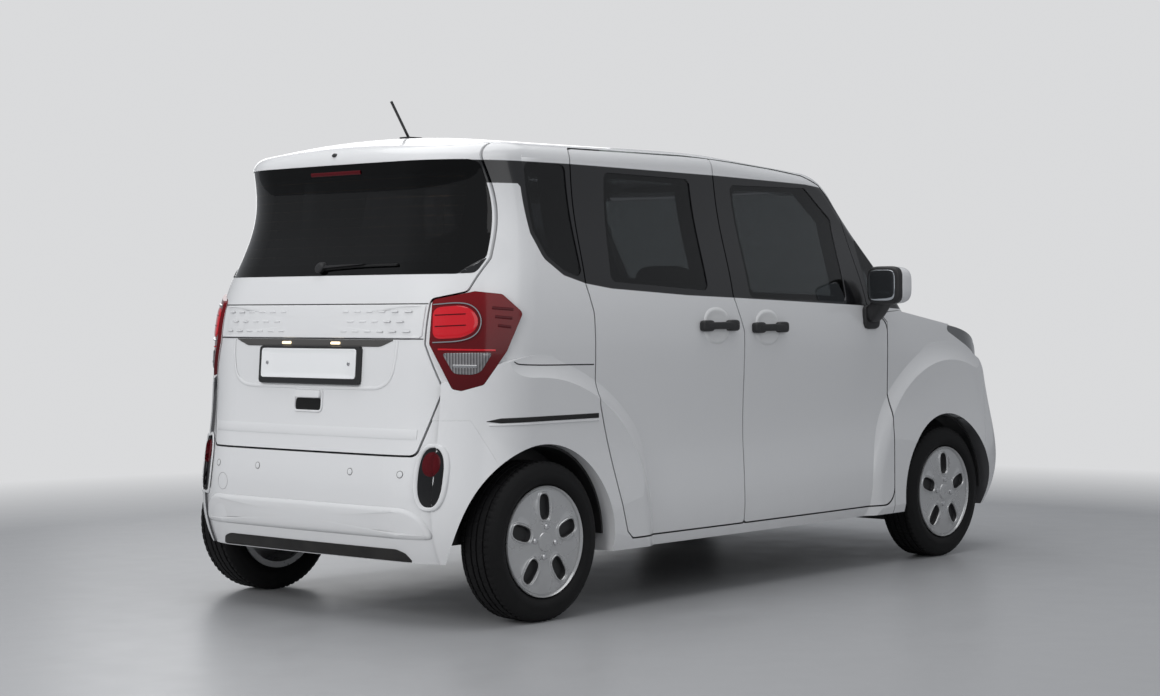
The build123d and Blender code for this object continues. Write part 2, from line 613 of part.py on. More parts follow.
with BuildPart() as rear_seat:
    with BuildSketch(Plane.XZ.offset(-600)):
        with BuildLine():
            FilletPolyline((-480, 650), (-490, 540), (-880, 500), (-960, 560), (-1060, 1080), (-960, 1110), (-880, 660),
                           radius=30, close=True)
        make_face()
    extrude(amount=1200)
    with Locations((-880, 0, 505)):
        Box(180, 1100, 69)

with BuildPart() as antenna:
    with Locations((-1250, 0, 1700)):
        Box(70, 46, 22)
    with BuildSketch(Plane((-1255, 0, 1700), x_dir=(0, 1, 0), z_dir=(-0.56, 0, 0.83))):
        Circle(5)
    extrude(amount=165)
    add(outer, mode=Mode.SUBTRACT)

# Hand-held and small outside pieces: door handles, mirrors, rear plate and wipers.
HANDLE_Y = 795
with BuildPart() as front_handle:
    with Locations((-96, -HANDLE_Y + 14, 996)):
        Box(230, 60, 44)
    fillet(front_handle.edges().filter_by(Axis.Y), 20)
    add(door_parts["front"][0], mode=Mode.SUBTRACT)
    add(door_back, mode=Mode.SUBTRACT)

with BuildPart() as rear_handle:
    with Locations((-410, -HANDLE_Y + 14, 1007)):
        Box(230, 60, 44)
    fillet(rear_handle.edges().filter_by(Axis.Y), 20)
    add(door_parts["rear"][0], mode=Mode.SUBTRACT)
    add(door_back, mode=Mode.SUBTRACT)

with BuildPart() as mirror_arm:
    with Locations((600, -868, 1160)):
        Box(130, 170, 150)
    fillet(mirror_arm.edges(), 36)
    with Locations((600, -816, 1040)):
        Box(80, 60, 120)
    with Locations((600, -800, 1004)):
        Box(80, 90, 48)
    add(door_parts["front"][0], mode=Mode.SUBTRACT)
    add(door_back, mode=Mode.SUBTRACT)

with BuildPart() as gate_fittings:
    with Locations((-1735, 0, 884)):
        Box(40, 530, 134)
    with Locations((-1757, 0, 760)):
        Box(40, 150, 60)
    with Locations((-1692, -165, 1232)):
        Box(40, 400, 24)
    add(tailgate.part, mode=Mode.SUBTRACT)
    add(tailgate_glass.part, mode=Mode.SUBTRACT)
    add(envelope(GLASS_OUT - SEAT_GAP, GLASS_OUT - SEAT_GAP), mode=Mode.SUBTRACT)

with BuildPart() as rear_reflectors:
    with BuildSketch(Plane.YZ.offset(-1850)):
        with Locations((-643, 516), (643, 516)):
            SlotCenterToCenter(90, 110, rotation=90)
    extrude(amount=200)
    add(envelope(-6, -6), mode=Mode.INTERSECT)
    add(envelope(0.4, 0.4), mode=Mode.SUBTRACT)
    add(rear_bumper.part, mode=Mode.SUBTRACT)


def biggest(part, count=1):
    """The largest solids of a part, so that no sliver from a cut is kept."""
    return Compound(children=list(part.solids().sort_by(SortBy.VOLUME)[-count:]))


flipped = {name: [mirror(p, about=Plane.XZ) for p in pair] for name, pair in door_parts.items()}
NODES = [
    ("floor_pan", floor_pan.part), ("body_side_left", body_side_left.part),
    ("body_side_right", biggest(body_side_right.part)), ("roof", roof.part), ("front_fenders", front_fenders.part),
    ("front_bumper", front_bumper.part), ("rear_bumper", rear_bumper.part), ("cowl", cowl.part),
    ("grille", grille.part), ("headlamps", headlamps.part), ("tail_lamps", tail_lamps.part),
    ("rear_reflectors", biggest(rear_reflectors.part, 2)), ("windscreen", windscreen.part), ("side_glass", side_panes.part),
    ("wheel_liners", wheel_liners.part), ("bonnet", bonnet.part), ("tailgate", tailgate.part),
    ("tailgate_glass", tailgate_glass.part), ("tailgate_fittings", gate_fittings.part),
    ("door_front_right", door_parts["front"][0]), ("door_front_right_glass", door_parts["front"][1]),
    ("sliding_door", door_parts["rear"][0]), ("sliding_door_glass", door_parts["rear"][1]),
    ("door_front_left", flipped["front"][0]), ("door_front_left_glass", flipped["front"][1]),
    ("door_rear_left", flipped["rear"][0]), ("door_rear_left_glass", flipped["rear"][1]),
    ("rear_axle", rear_axle.part), ("front_suspension", front_suspension.part), ("engine", engine.part),
    ("exhaust", exhaust.part), ("fuel_tank", fuel_tank.part), ("dashboard", dashboard.part),
    ("steering_column", column.part), ("steering_wheel", steering_wheel.part), ("front_seats", front_seats.part),
    ("rear_seat", rear_seat.part), ("antenna", antenna.part),
    ("knuckle_right", knuckle.part), ("knuckle_left", mirror(knuckle.part, about=Plane.XZ)),
]
for name, fitting in (("handle", front_handle.part), ("mirror", mirror_arm.part)):
    NODES.append(("front_right_" + name, fitting))
    NODES.append(("front_left_" + name, mirror(fitting, about=Plane.XZ)))
NODES.append(("sliding_door_handle", rear_handle.part))
NODES.append(("rear_left_handle", mirror(rear_handle.part, about=Plane.XZ)))
for axle, axle_x in (("front", FRONT_AXLE_X), ("rear", REAR_AXLE_X)):
    for side_name, side in (("right", -1), ("left", 1)):
        place = Location((axle_x, side * WHEEL_Y, TYRE_R), (0, 0, 0 if side > 0 else 180))
        NODES.append(("wheel_" + axle + "_" + side_name, rim.part.moved(place)))
        NODES.append(("tyre_" + axle + "_" + side_name, tyre.part.moved(place)))
for name, made in NODES:
    made.label = name
    export_step(made, "parts/" + name + ".step")
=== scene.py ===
"""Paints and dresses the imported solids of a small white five-door car."""

from math import atan2, cos, hypot, pi, radians, sin

import bmesh
import bpy
from bpy.props import FloatProperty, FloatVectorProperty, IntProperty, PointerProperty
from mathutils import Matrix, Vector
from mathutils.bvhtree import BVHTree


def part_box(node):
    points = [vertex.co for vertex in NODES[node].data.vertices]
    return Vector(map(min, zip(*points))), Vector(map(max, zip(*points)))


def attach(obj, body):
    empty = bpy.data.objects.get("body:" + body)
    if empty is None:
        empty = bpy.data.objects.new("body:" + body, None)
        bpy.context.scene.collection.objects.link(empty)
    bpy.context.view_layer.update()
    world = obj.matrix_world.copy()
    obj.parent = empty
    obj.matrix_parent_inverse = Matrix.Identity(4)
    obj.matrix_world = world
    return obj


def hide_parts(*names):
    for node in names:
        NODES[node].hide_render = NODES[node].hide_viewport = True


bl_info = {
    "name": "Small White Car",
    "version": (1, 0, 0),
    "blender": (4, 5, 0),
    "location": "3D View > Sidebar > Car",
    "description": "Paints and dresses the packed solids of a small white five-door car",
    "category": "Object",
}

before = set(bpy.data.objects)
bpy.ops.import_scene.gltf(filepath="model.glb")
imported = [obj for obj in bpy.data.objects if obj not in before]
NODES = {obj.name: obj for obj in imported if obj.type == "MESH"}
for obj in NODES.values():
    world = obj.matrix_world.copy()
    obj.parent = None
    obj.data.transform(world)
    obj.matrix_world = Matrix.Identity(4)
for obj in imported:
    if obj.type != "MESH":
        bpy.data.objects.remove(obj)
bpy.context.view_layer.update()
MATERIALS = {}

# Side view lines of the two-tone paint, as (x, z): white below the belt and above the top line.
BELT_LINE = [(-1.80, 1.512), (-1.352, 1.510), (-1.346, 1.350), (-1.303, 1.250), (-1.222, 1.192),
             (-1.117, 1.163), (-0.987, 1.145), (-0.573, 1.120), (-0.302, 1.110), (0.534, 1.077),
             (0.833, 1.060), (1.00, 1.050)]
TOP_LINE = [(-1.80, 1.592), (-1.102, 1.590), (-0.471, 1.581), (-0.306, 1.579), (0.300, 1.566),
            (0.420, 1.556), (0.500, 1.500), (0.612, 1.395), (0.835, 1.095), (0.870, 1.040), (1.00, 1.00)]
BAND_FROM_MIDDLE = 0.52
LINE_SHARPNESS, SIDE_SHARPNESS = 500.0, 200.0

# A face looks in at the cabin where it turns this far towards the cabin's middle.
CABIN_MIDDLE = (-0.3, 0.0, 0.85)
CABIN_TURN, CABIN_SHARPNESS = -0.15, 20.0

# Ways of looking at a skin: across, up and out of it.
UP = Vector((0, 0, 1))
REAR = (Vector((0, 1, 0)), UP, Vector((-1, 0, 0)))
FRONT = (Vector((0, 1, 0)), UP, Vector((1, 0, 0)))
RIGHT = (Vector((1, 0, 0)), UP, Vector((0, -1, 0)))
LEFT = (Vector((1, 0, 0)), UP, Vector((0, 1, 0)))
TAIL_RIGHT = (Vector((1, -1, 0)).normalized(), UP, Vector((-1, -1, 0)).normalized())
TAIL_LEFT = (Vector((1, 1, 0)).normalized(), UP, Vector((-1, 1, 0)).normalized())

HALVES = ((-1, "r"), (1, "l"))
SIDES = ((-1, "right"), (1, "left"))


def colour_setting(label, description, *rgb):
    return FloatVectorProperty(name=label, description=description, subtype="COLOR", size=4,
                               default=rgb + (1.0,))


def length_setting(label, description, value):
    return FloatProperty(name=label, description=description, default=value, unit="LENGTH")


class CarFinishSettings(bpy.types.PropertyGroup):
    """Colours of the car's finishes."""
    paint: colour_setting("Paint", "White body paint", 0.70, 0.705, 0.715)
    band: colour_setting("Band", "Gloss black round the windows", 0.006, 0.006, 0.007)
    lining: colour_setting("Lining", "Inner face of doors and pillars", 0.10, 0.10, 0.105)
    tint: colour_setting("Glass Tint", "Tinted side and rear glass", 0.045, 0.048, 0.052)
    silver: colour_setting("Cover Silver", "Painted wheel covers", 0.56, 0.565, 0.57)
    lamp_red: colour_setting("Lamp Red", "Red lens plastic", 0.16, 0.003, 0.006)
    fabric: colour_setting("Seat Fabric", "Woven seat cloth", 0.055, 0.055, 0.06)


class CarDetailSettings(bpy.types.PropertyGroup):
    """Sizes of the car's details."""
    tread_depth: length_setting("Tread Depth", "Depth of the tyre grooves", 0.006)
    tread_blocks: IntProperty(name="Tread Blocks", description="Shoulder blocks round a tyre", default=68)
    cover_slots: IntProperty(name="Cover Slots", description="Slots in a wheel cover", default=5)
    slot_depth: length_setting("Slot Depth", "Depth of a cover slot", 0.015)
    dash_height: length_setting("Dash Height", "Raised dashes on the rear strip", 0.006)
    crown: length_setting("Seat Crown", "Rise of a seat cushion's middle", 0.018)


class CarStageSettings(bpy.types.PropertyGroup):
    """Camera, floor and backdrop."""
    camera_at: FloatVectorProperty(name="Camera", description="Camera place", subtype="TRANSLATION", size=3,
                                   default=(-6.9252, -5.9027, 1.1016))
    camera_turn: FloatVectorProperty(name="Camera Turn", description="Yaw, pitch and roll", subtype="EULER",
                                     size=3, default=(radians(41.788), radians(-1.2128), radians(-0.3955)))
    lens: FloatProperty(name="Lens", description="Focal length in millimetres", default=68.5)
    floor: colour_setting("Floor", "Floor colour", 0.37, 0.375, 0.385)
    wall: colour_setting("Wall", "Backdrop colour", 0.70, 0.705, 0.715)


# Shader helpers.

def make_group(name, inputs, outputs):
    """An empty shader node group with named sockets."""
    tree = bpy.data.node_groups.new(name, "ShaderNodeTree")
    for label, kind, value in inputs:
        socket = tree.interface.new_socket(name=label, in_out="INPUT", socket_type=kind)
        if value is not None:
            socket.default_value = value
    for label, kind in outputs:
        tree.interface.new_socket(name=label, in_out="OUTPUT", socket_type=kind)
    return tree, tree.nodes.new("NodeGroupInput"), tree.nodes.new("NodeGroupOutput")


def maths(tree, operation, first, second=0.0, clamp=False):
    """One maths node. Each term is a socket or a number."""
    n = tree.nodes.new("ShaderNodeMath")
    n.operation = operation
    n.use_clamp = clamp
    for i, term in enumerate((first, second)):
        if isinstance(term, (int, float)):
            n.inputs[i].default_value = term
        else:
            tree.links.new(term, n.inputs[i])
    return n.outputs[0]


def vector_maths(tree, operation, first, second=None):
    """One vector maths node. The second term is a socket, three numbers or left out."""
    n = tree.nodes.new("ShaderNodeVectorMath")
    n.operation = operation
    tree.links.new(first, n.inputs[0])
    if isinstance(second, tuple):
        n.inputs[1].default_value = second
    elif second is not None:
        tree.links.new(second, n.inputs[1])
    return n.outputs["Value" if operation == "DOT_PRODUCT" else "Vector"]


def noise(tree, vector, detail, scale):
    """A noise texture's value. The scale is a socket or a number."""
    n = tree.nodes.new("ShaderNodeTexNoise")
    n.inputs["Detail"].default_value = detail
    tree.links.new(vector, n.inputs["Vector"])
    if isinstance(scale, float):
        n.inputs["Scale"].default_value = scale
    else:
        tree.links.new(scale, n.inputs["Scale"])
    return n.outputs["Fac"]


def split(tree, vector):
    n = tree.nodes.new("ShaderNodeSeparateXYZ")
    tree.links.new(vector, n.inputs[0])
    return tuple(n.outputs)


def line_curve(tree, x, points):
    """Height of a side view line at x, through straight runs between its points."""
    low_x, low_z = -1.8, 1.0
    span_x, span_z = 2.8, 0.7
    curve = tree.nodes.new("ShaderNodeFloatCurve")
    line = curve.mapping.curves[0]
    scaled = [((px - low_x) / span_x, (pz - low_z) / span_z) for px, pz in points]
    line.points[0].location = scaled[0]
    line.points[1].location = scaled[-1]
    for place in scaled[1:-1]:
        line.points.new(*place)
    for point in line.points:
        point.handle_type = "VECTOR"
    curve.mapping.update()
    along = maths(tree, "DIVIDE", maths(tree, "SUBTRACT", x, low_x), span_x, clamp=True)
    tree.links.new(along, curve.inputs["Value"])
    return maths(tree, "ADD", maths(tree, "MULTIPLY", curve.outputs[0], span_z), low_z)


def grain_group():
    """Fine unevenness of a surface: a roughness that wanders and a height for a bump."""
    tree, inner, outer = make_group(
        "fine_grain",
        [("Vector", "NodeSocketVector", None), ("Scale", "NodeSocketFloat", 200.0),
         ("Rough Low", "NodeSocketFloat", 0.2), ("Rough High", "NodeSocketFloat", 0.3)],
        [("Roughness", "NodeSocketFloat"), ("Height", "NodeSocketFloat")])
    fine = noise(tree, inner.outputs["Vector"], 3.0, inner.outputs["Scale"])
    broad = noise(tree, inner.outputs["Vector"], 5.0, 6.0)
    span = tree.nodes.new("ShaderNodeMapRange")
    tree.links.new(broad, span.inputs["Value"])
    tree.links.new(inner.outputs["Rough Low"], span.inputs["To Min"])
    tree.links.new(inner.outputs["Rough High"], span.inputs["To Max"])
    tree.links.new(span.outputs["Result"], outer.inputs["Roughness"])
    tree.links.new(fine, outer.inputs["Height"])


def dust_group():
    """Road dust that gathers low down, broken up by noise."""
    tree, inner, outer = make_group(
        "low_dust", [("Vector", "NodeSocketVector", None), ("Reach", "NodeSocketFloat", 0.4)],
        [("Mask", "NodeSocketFloat")])
    z = split(tree, inner.outputs["Vector"])[2]
    low = maths(tree, "SUBTRACT", 1.0, maths(tree, "DIVIDE", z, inner.outputs["Reach"]), clamp=True)
    specks = noise(tree, inner.outputs["Vector"], 6.0, 14.0)
    tree.links.new(maths(tree, "MULTIPLY", low, specks, clamp=True), outer.inputs["Mask"])


def band_group():
    """Where the gloss black runs round the side windows."""
    tree, inner, outer = make_group("window_band", [("Vector", "NodeSocketVector", None)],
                                    [("Mask", "NodeSocketFloat")])
    x, y, z = split(tree, inner.outputs["Vector"])
    over_belt = maths(tree, "SUBTRACT", z, line_curve(tree, x, BELT_LINE))
    under_top = maths(tree, "SUBTRACT", line_curve(tree, x, TOP_LINE), z)
    aside = maths(tree, "SUBTRACT", maths(tree, "ABSOLUTE", y), BAND_FROM_MIDDLE)
    over_belt = maths(tree, "MULTIPLY", over_belt, LINE_SHARPNESS, clamp=True)
    under_top = maths(tree, "MULTIPLY", under_top, LINE_SHARPNESS, clamp=True)
    aside = maths(tree, "MULTIPLY", aside, SIDE_SHARPNESS, clamp=True)
    mask = maths(tree, "MULTIPLY", maths(tree, "MULTIPLY", over_belt, under_top), aside)
    tree.links.new(mask, outer.inputs["Mask"])


def inside_group():
    """Which faces look in at the cabin, from where they are and which way they face."""
    tree, inner, outer = make_group(
        "cabin_side", [("Vector", "NodeSocketVector", None), ("Normal", "NodeSocketVector", None)],
        [("Mask", "NodeSocketFloat")])
    away = vector_maths(tree, "SUBTRACT", inner.outputs["Vector"], CABIN_MIDDLE)
    turn = vector_maths(tree, "DOT_PRODUCT", vector_maths(tree, "NORMALIZE", away), inner.outputs["Normal"])
    mask = maths(tree, "MULTIPLY", maths(tree, "SUBTRACT", CABIN_TURN, turn), CABIN_SHARPNESS, clamp=True)
    tree.links.new(mask, outer.inputs["Mask"])


class Finish:
    """A material under construction: its tree, its main shader and the object coordinates."""

    def __init__(self, name, colour, roughness=0.4, metallic=0.0, grain=200.0, spread=0.06, bump=0.02,
                 **sockets):
        material = MATERIALS[name] = bpy.data.materials.new(name)
        material.use_nodes = True
        self.tree = material.node_tree
        self.shader = self.tree.nodes["Principled BSDF"]
        self.place = self.tree.nodes.new("ShaderNodeTexCoord")
        self.shader.inputs["Base Color"].default_value = colour
        self.shader.inputs["Metallic"].default_value = metallic
        for label, value in sockets.items():
            self.shader.inputs[label.replace("_", " ").title().replace("Ior", "IOR")].default_value = value
        uneven = self.group("fine_grain", Scale=grain, Rough_Low=max(roughness - spread, 0.0),
                            Rough_High=roughness + spread)
        self.link(uneven.outputs["Roughness"], self.shader.inputs["Roughness"])
        self.bump = self.tree.nodes.new("ShaderNodeBump")
        self.bump.inputs["Strength"].default_value = bump
        self.bump.inputs["Distance"].default_value = 0.001
        self.link(uneven.outputs["Height"], self.bump.inputs["Height"])
        self.link(self.bump.outputs["Normal"], self.shader.inputs["Normal"])

    def link(self, source, target):
        self.tree.links.new(source, target)

    def group(self, name, **values):
        n = self.tree.nodes.new("ShaderNodeGroup")
        n.node_tree = bpy.data.node_groups[name]
        for label, value in values.items():
            n.inputs[label.replace("_", " ")].default_value = value
        self.link(self.place.outputs["Object"], n.inputs["Vector"])
        return n

    def maths(self, operation, first, second=0.0, clamp=False):
        return maths(self.tree, operation, first, second, clamp)

    def mix(self, factor, first, second):
        """A colour mixed by a mask. Each colour is a socket or four numbers."""
        n = self.tree.nodes.new("ShaderNodeMix")
        n.data_type = "RGBA"
        self.link(factor, n.inputs["Factor"])
        for term, target in ((first, n.inputs[6]), (second, n.inputs[7])):
            if isinstance(term, bpy.types.NodeSocket):
                self.link(term, target)
            else:
                target.default_value = tuple(term)
        return n.outputs[2]

    def dusty(self, clean, dirt, share, reach):
        """The clean colour with a share of dirt over it low down."""
        mask = self.group("low_dust", Reach=reach).outputs["Mask"]
        return self.mix(self.maths("MULTIPLY", mask, share), clean, dirt)

    def lined(self, outside, lining):
        """One colour outside and another on faces that look in at the cabin."""
        n = self.group("cabin_side")
        self.link(self.place.outputs["Normal"], n.inputs["Normal"])
        return self.mix(n.outputs["Mask"], outside, lining)

    def colour(self, socket):
        self.link(socket, self.shader.inputs["Base Color"])

    def axes(self):
        return split(self.tree, self.place.outputs["Object"])


# Outline helpers.

def rounded(points, radius, steps=7):
    """A closed outline with each corner turned into an arc."""
    out = []
    count = len(points)
    for i in range(count):
        before, here, after = (Vector(points[(i + k) % count]) for k in (-1, 0, 1))
        to_before, to_after = before - here, after - here
        reach = min(radius, to_before.length * 0.48, to_after.length * 0.48)
        start = here + to_before.normalized() * reach
        end = here + to_after.normalized() * reach
        for k in range(steps + 1):
            t = k / steps
            out.append(tuple(start * (1 - t) ** 2 + here * 2 * t * (1 - t) + end * t ** 2))
    return out


def oval(across, up, half_across, half_up, power=2.0, count=56):
    """A closed rounded outline, from an ellipse at power 2 to nearly a box at power 8."""
    out = []
    for k in range(count):
        a = 2 * pi * k / count
        c, s = cos(a), sin(a)
        out.append((across + half_across * abs(c) ** (2 / power) * (1 if c >= 0 else -1),
                    up + half_up * abs(s) ** (2 / power) * (1 if s >= 0 else -1)))
    return out


def disc(across, up, radius):
    return oval(across, up, radius, radius)


def box_outline(across, up, width, height, radius):
    return rounded([(across - width / 2, up - height / 2), (across + width / 2, up - height / 2),
                    (across + width / 2, up + height / 2), (across - width / 2, up + height / 2)], radius)


def evenly(outline, count):
    """The same closed outline with points an even distance apart."""
    pts = [Vector(p) for p in outline]
    runs = [(pts[(i + 1) % len(pts)] - pts[i]).length for i in range(len(pts))]
    total = sum(runs)
    out, i, gone = [], 0, 0.0
    for k in range(count):
        want = total * k / count
        while i < len(runs) - 1 and gone + runs[i] < want:
            gone += runs[i]
            i += 1
        t = (want - gone) / runs[i] if runs[i] > 1e-9 else 0.0
        out.append(tuple(pts[i].lerp(pts[(i + 1) % len(pts)], min(t, 1.0))))
    return out


def shrunk(outline, by):
    """An outline moved in by a distance along its own normals."""
    count = len(outline)
    area = sum(outline[i - 1][0] * outline[i][1] - outline[i][0] * outline[i - 1][1] for i in range(count))
    way = 1.0 if area > 0 else -1.0
    out = []
    for i in range(count):
        dx = outline[(i + 1) % count][0] - outline[i - 1][0]
        dz = outline[(i + 1) % count][1] - outline[i - 1][1]
        run = hypot(dx, dz) or 1.0
        out.append((outline[i][0] - way * dz / run * by, outline[i][1] + way * dx / run * by))
    return out


def stations_along(path, steps):
    """Places an even distance apart along a path whose bends are rounded."""
    pts = [Vector(p) for p in path]
    for _ in range(3):
        cut = [a.lerp(b, share) for a, b in zip(pts, pts[1:]) for share in (0.25, 0.75)]
        pts = [pts[0]] + cut + [pts[-1]]
    runs = [(b - a).length for a, b in zip(pts, pts[1:])]
    total = sum(runs)
    stations = []
    for k in range(steps + 1):
        want, i = total * k / steps, 0
        while i < len(runs) - 1 and want > runs[i]:
            want -= runs[i]
            i += 1
        stations.append(pts[i].lerp(pts[i + 1], min(want / runs[i], 1.0)))
    return stations


# Pieces.

# Slot that goes with each finish.
SLOT_FINISHES = {
    "white_paint": ("body_paint", "body_paint_plain", "plate_white", "sensor_white", "seam_grey",
                    "cup_shade"),
    "black_plastic": ("black_plastic", "slot_black", "slot_gloss", "brow_shade"),
    "black_gloss": ("band_black",),
    "bright_steel": ("bright_trim", "nut_steel", "mirror_glass"),
    "clear_lens": ("plate_lamp", "reverse_clear", "head_lens"),
    "red_lens": ("lamp_bright", "lamp_dark"),
    "tyre_rubber": ("tyre_rubber",),
    "silver_cover": ("cover_silver",),
    "seat_fabric": ("seat_cloth",),
}
SLOT_OF = {finish: slot for slot, finishes in SLOT_FINISHES.items() for finish in finishes}

WELD = 1e-6
SHARP_ANGLE = radians(38)


def piece(bm, name, material, body, replaces=(), slot=None, sharp=False):
    """The object of a mesh under construction. It rides on a body and stands for the nodes it replaces."""
    mesh = bpy.data.meshes.new(name)
    bm.to_mesh(mesh)
    bm.free()
    obj = bpy.data.objects.new(name, mesh)
    bpy.context.scene.collection.objects.link(obj)
    mesh.materials.append(MATERIALS[material])
    mesh.shade_smooth()
    if sharp:
        mesh.set_sharp_from_angle(angle=SHARP_ANGLE)
    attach(obj, body)
    slot or SLOT_OF[material]
    if replaces:
        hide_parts(*replaces)
    return obj


def shape(name, verts, faces, material, body, replaces=(), slot=None):
    """A piece from points and faces, points at one place joined."""
    bm = bmesh.new()
    made = [bm.verts.new(v) for v in verts]
    for face in faces:
        bm.faces.new([made[i] for i in face])
    bmesh.ops.remove_doubles(bm, verts=bm.verts, dist=WELD)
    bmesh.ops.recalc_face_normals(bm, faces=bm.faces)
    return piece(bm, name, material, body, replaces, slot, sharp=True)


def ring_faces(rings, count, closed=False, base=0):
    """Faces between rings of points that follow each other, back to the first ring where closed."""
    faces = []
    for j in range(rings if closed else rings - 1):
        here, there = base + j * count, base + (j + 1) % rings * count
        for i in range(count):
            n = (i + 1) % count
            faces.append((here + i, here + n, there + n, there + i))
    return faces


def lathe(profile, count, centre, flip, base=0):
    """Rings of a profile of (radius, out) turned round a wheel's axle."""
    verts = []
    for r, out in profile:
        for k in range(count):
            a = 2 * pi * k / count
            verts.append(centre + Vector((r * cos(a), out * flip, r * sin(a))))
    return verts, ring_faces(len(profile), count, base=base)


class Skin:
    """The outer surface of some solids, to lay trim on."""

    def __init__(self, *names):
        verts, faces = [], []
        for name in names:
            mesh = NODES[name].data
            base = len(verts)
            verts += [v.co.copy() for v in mesh.vertices]
            faces += [[base + i for i in p.vertices] for p in mesh.polygons]
        self.tree = BVHTree.FromPolygons(verts, faces)
        self.depth = None

    def at(self, view, across, up, lift=0.0):
        """The skin's point under a place in a view, lifted out. Beside the skin its last depth goes on."""
        u, v, w = view
        start = u * across + v * up + w * 4.0
        hit = self.tree.ray_cast(start, -w)[0]
        if hit is None:
            if self.depth is None:
                self.depth = self.tree.find_nearest(start)[0].dot(w)
            hit = u * across + v * up + w * self.depth
        self.depth = hit.dot(w)
        return hit + w * lift


class Trim:
    """Trim on a skin, drawn in one view as (across, up) in metres, that rides on one body."""

    BACK = 0.003

    def __init__(self, skin, view, body):
        self.skin, self.view, self.body = skin, view, body

    def at(self, across, up, lift):
        return self.skin.at(self.view, across, up, lift)

    def points(self, loops):
        return [self.at(a, b, rise) for loop, rise in loops for a, b in loop]

    def moulding(self, name, outline, rings, material, count=72, back=BACK, replaces=(), slot=None):
        """A closed piece: rings of (inset, lift) from its edge in, then a filled middle."""
        edge = evenly(outline, count)
        loops = [(edge, -back)] + [(shrunk(edge, inset), lift) for inset, lift in rings]
        last, lift = loops[-1]
        mid = (sum(p[0] for p in last) / count, sum(p[1] for p in last) / count)
        for share in (0.66, 0.33):
            inner = [(mid[0] + (a - mid[0]) * share, mid[1] + (b - mid[1]) * share) for a, b in last]
            loops.append((inner, lift))
        verts = self.points(loops)
        faces = ring_faces(len(loops), count)
        inner, top, low = (len(loops) - 1) * count, len(verts), len(verts) + 1
        verts += [self.at(*mid, lift), self.at(*mid, -back)]
        for i in range(count):
            j = (i + 1) % count
            faces += [(inner + i, inner + j, top), (j, i, low)]
        return shape(name, verts, faces, material, self.body, replaces, slot)

    def rib(self, name, outline, width, lift, material, count=80):
        """A raised closed rib along an outline."""
        edge = evenly(outline, count)
        far = shrunk(edge, width)
        loops = [(edge, -self.BACK), (edge, lift * 0.6), (shrunk(edge, width * 0.25), lift),
                 (shrunk(edge, width * 0.75), lift), (far, lift * 0.6), (far, -self.BACK)]
        faces = ring_faces(len(loops), count, closed=True)
        return shape(name, self.points(loops), faces, material, self.body)

    def strip(self, name, path, width, lift, material, steps=80, taper=0.0):
        """A raised strip along a path, narrow at its first end over a share of its length."""
        section = ((-1, -self.BACK), (-1, lift * 0.5), (-0.6, lift), (0.6, lift), (1, lift * 0.5),
                   (1, -self.BACK))
        count = len(section)
        stations = stations_along(path, steps)
        verts = []
        for k, at in enumerate(stations):
            ahead = (stations[min(k + 1, steps)] - stations[max(k - 1, 0)]).normalized()
            across = Vector((-ahead.y, ahead.x))
            half = width / 2 * (min(1.0, 0.12 + k / (steps * taper)) if taper else 1.0)
            for share, rise in section:
                place = at + across * half * share
                verts.append(self.at(place.x, place.y, rise))
        faces = ring_faces(steps + 1, count)
        faces += [tuple(range(count)), tuple(steps * count + i for i in reversed(range(count)))]
        return shape(name, verts, faces, material, self.body)


def rounded_cube(cuts, power):
    """A cube cut into squares, and each point's place on a block with rounded edges, from -1 to 1."""
    bm = bmesh.new()
    bmesh.ops.create_cube(bm, size=2.0)
    bmesh.ops.subdivide_edges(bm, edges=bm.edges, cuts=cuts, use_grid_fill=True)
    places = []
    for v in bm.verts:
        span = sum(abs(c) ** power for c in v.co) ** (1 / power)
        places.append((v, [c / span for c in v.co]))
    return bm, places


def block(name, size, place, material, body, power=6.0, cuts=9, turn=None, replaces=()):
    """A small moulded piece: a block with softly rounded edges."""
    bm, places = rounded_cube(cuts, power)
    for v, unit in places:
        v.co = Vector([c * s / 2 for c, s in zip(unit, size)])
    if turn is not None:
        bmesh.ops.transform(bm, matrix=turn, verts=bm.verts)
    bmesh.ops.translate(bm, vec=Vector(place), verts=bm.verts)
    return piece(bm, name, material, body, replaces)


CUSHION_CUTS = 23
CUSHION_WAIST = 0.03
SEAM_HALF = 0.07


def cushion(name, size, place, tilt, power, crown, seams=(), replaces=()):
    """A seat cushion: a rounded block whose front face swells, with sewn channels of (axis, place, depth)."""
    bm, places = rounded_cube(CUSHION_CUTS, power)
    for v, (ux, uy, uz) in places:
        rise = crown * (1 - ux * ux) * (1 - uy * uy) * max(uz, 0.0)
        for axis, at, depth in seams:
            away = (ux if axis == "x" else uy) - at
            rise -= depth * max(0.0, 1 - (away / SEAM_HALF) ** 2) * max(uz, 0.0)
        sides = 1 - CUSHION_WAIST * (1 - abs(uz))
        v.co = Vector((ux * size[0] / 2 * sides, uy * size[1] / 2 * sides, uz * size[2] / 2 + rise))
    turn = Matrix.Rotation(radians(tilt), 4, "Y")
    bmesh.ops.transform(bm, matrix=Matrix.Translation(place) @ turn, verts=bm.verts)
    obj = piece(bm, name, "seat_cloth", "body", replaces)


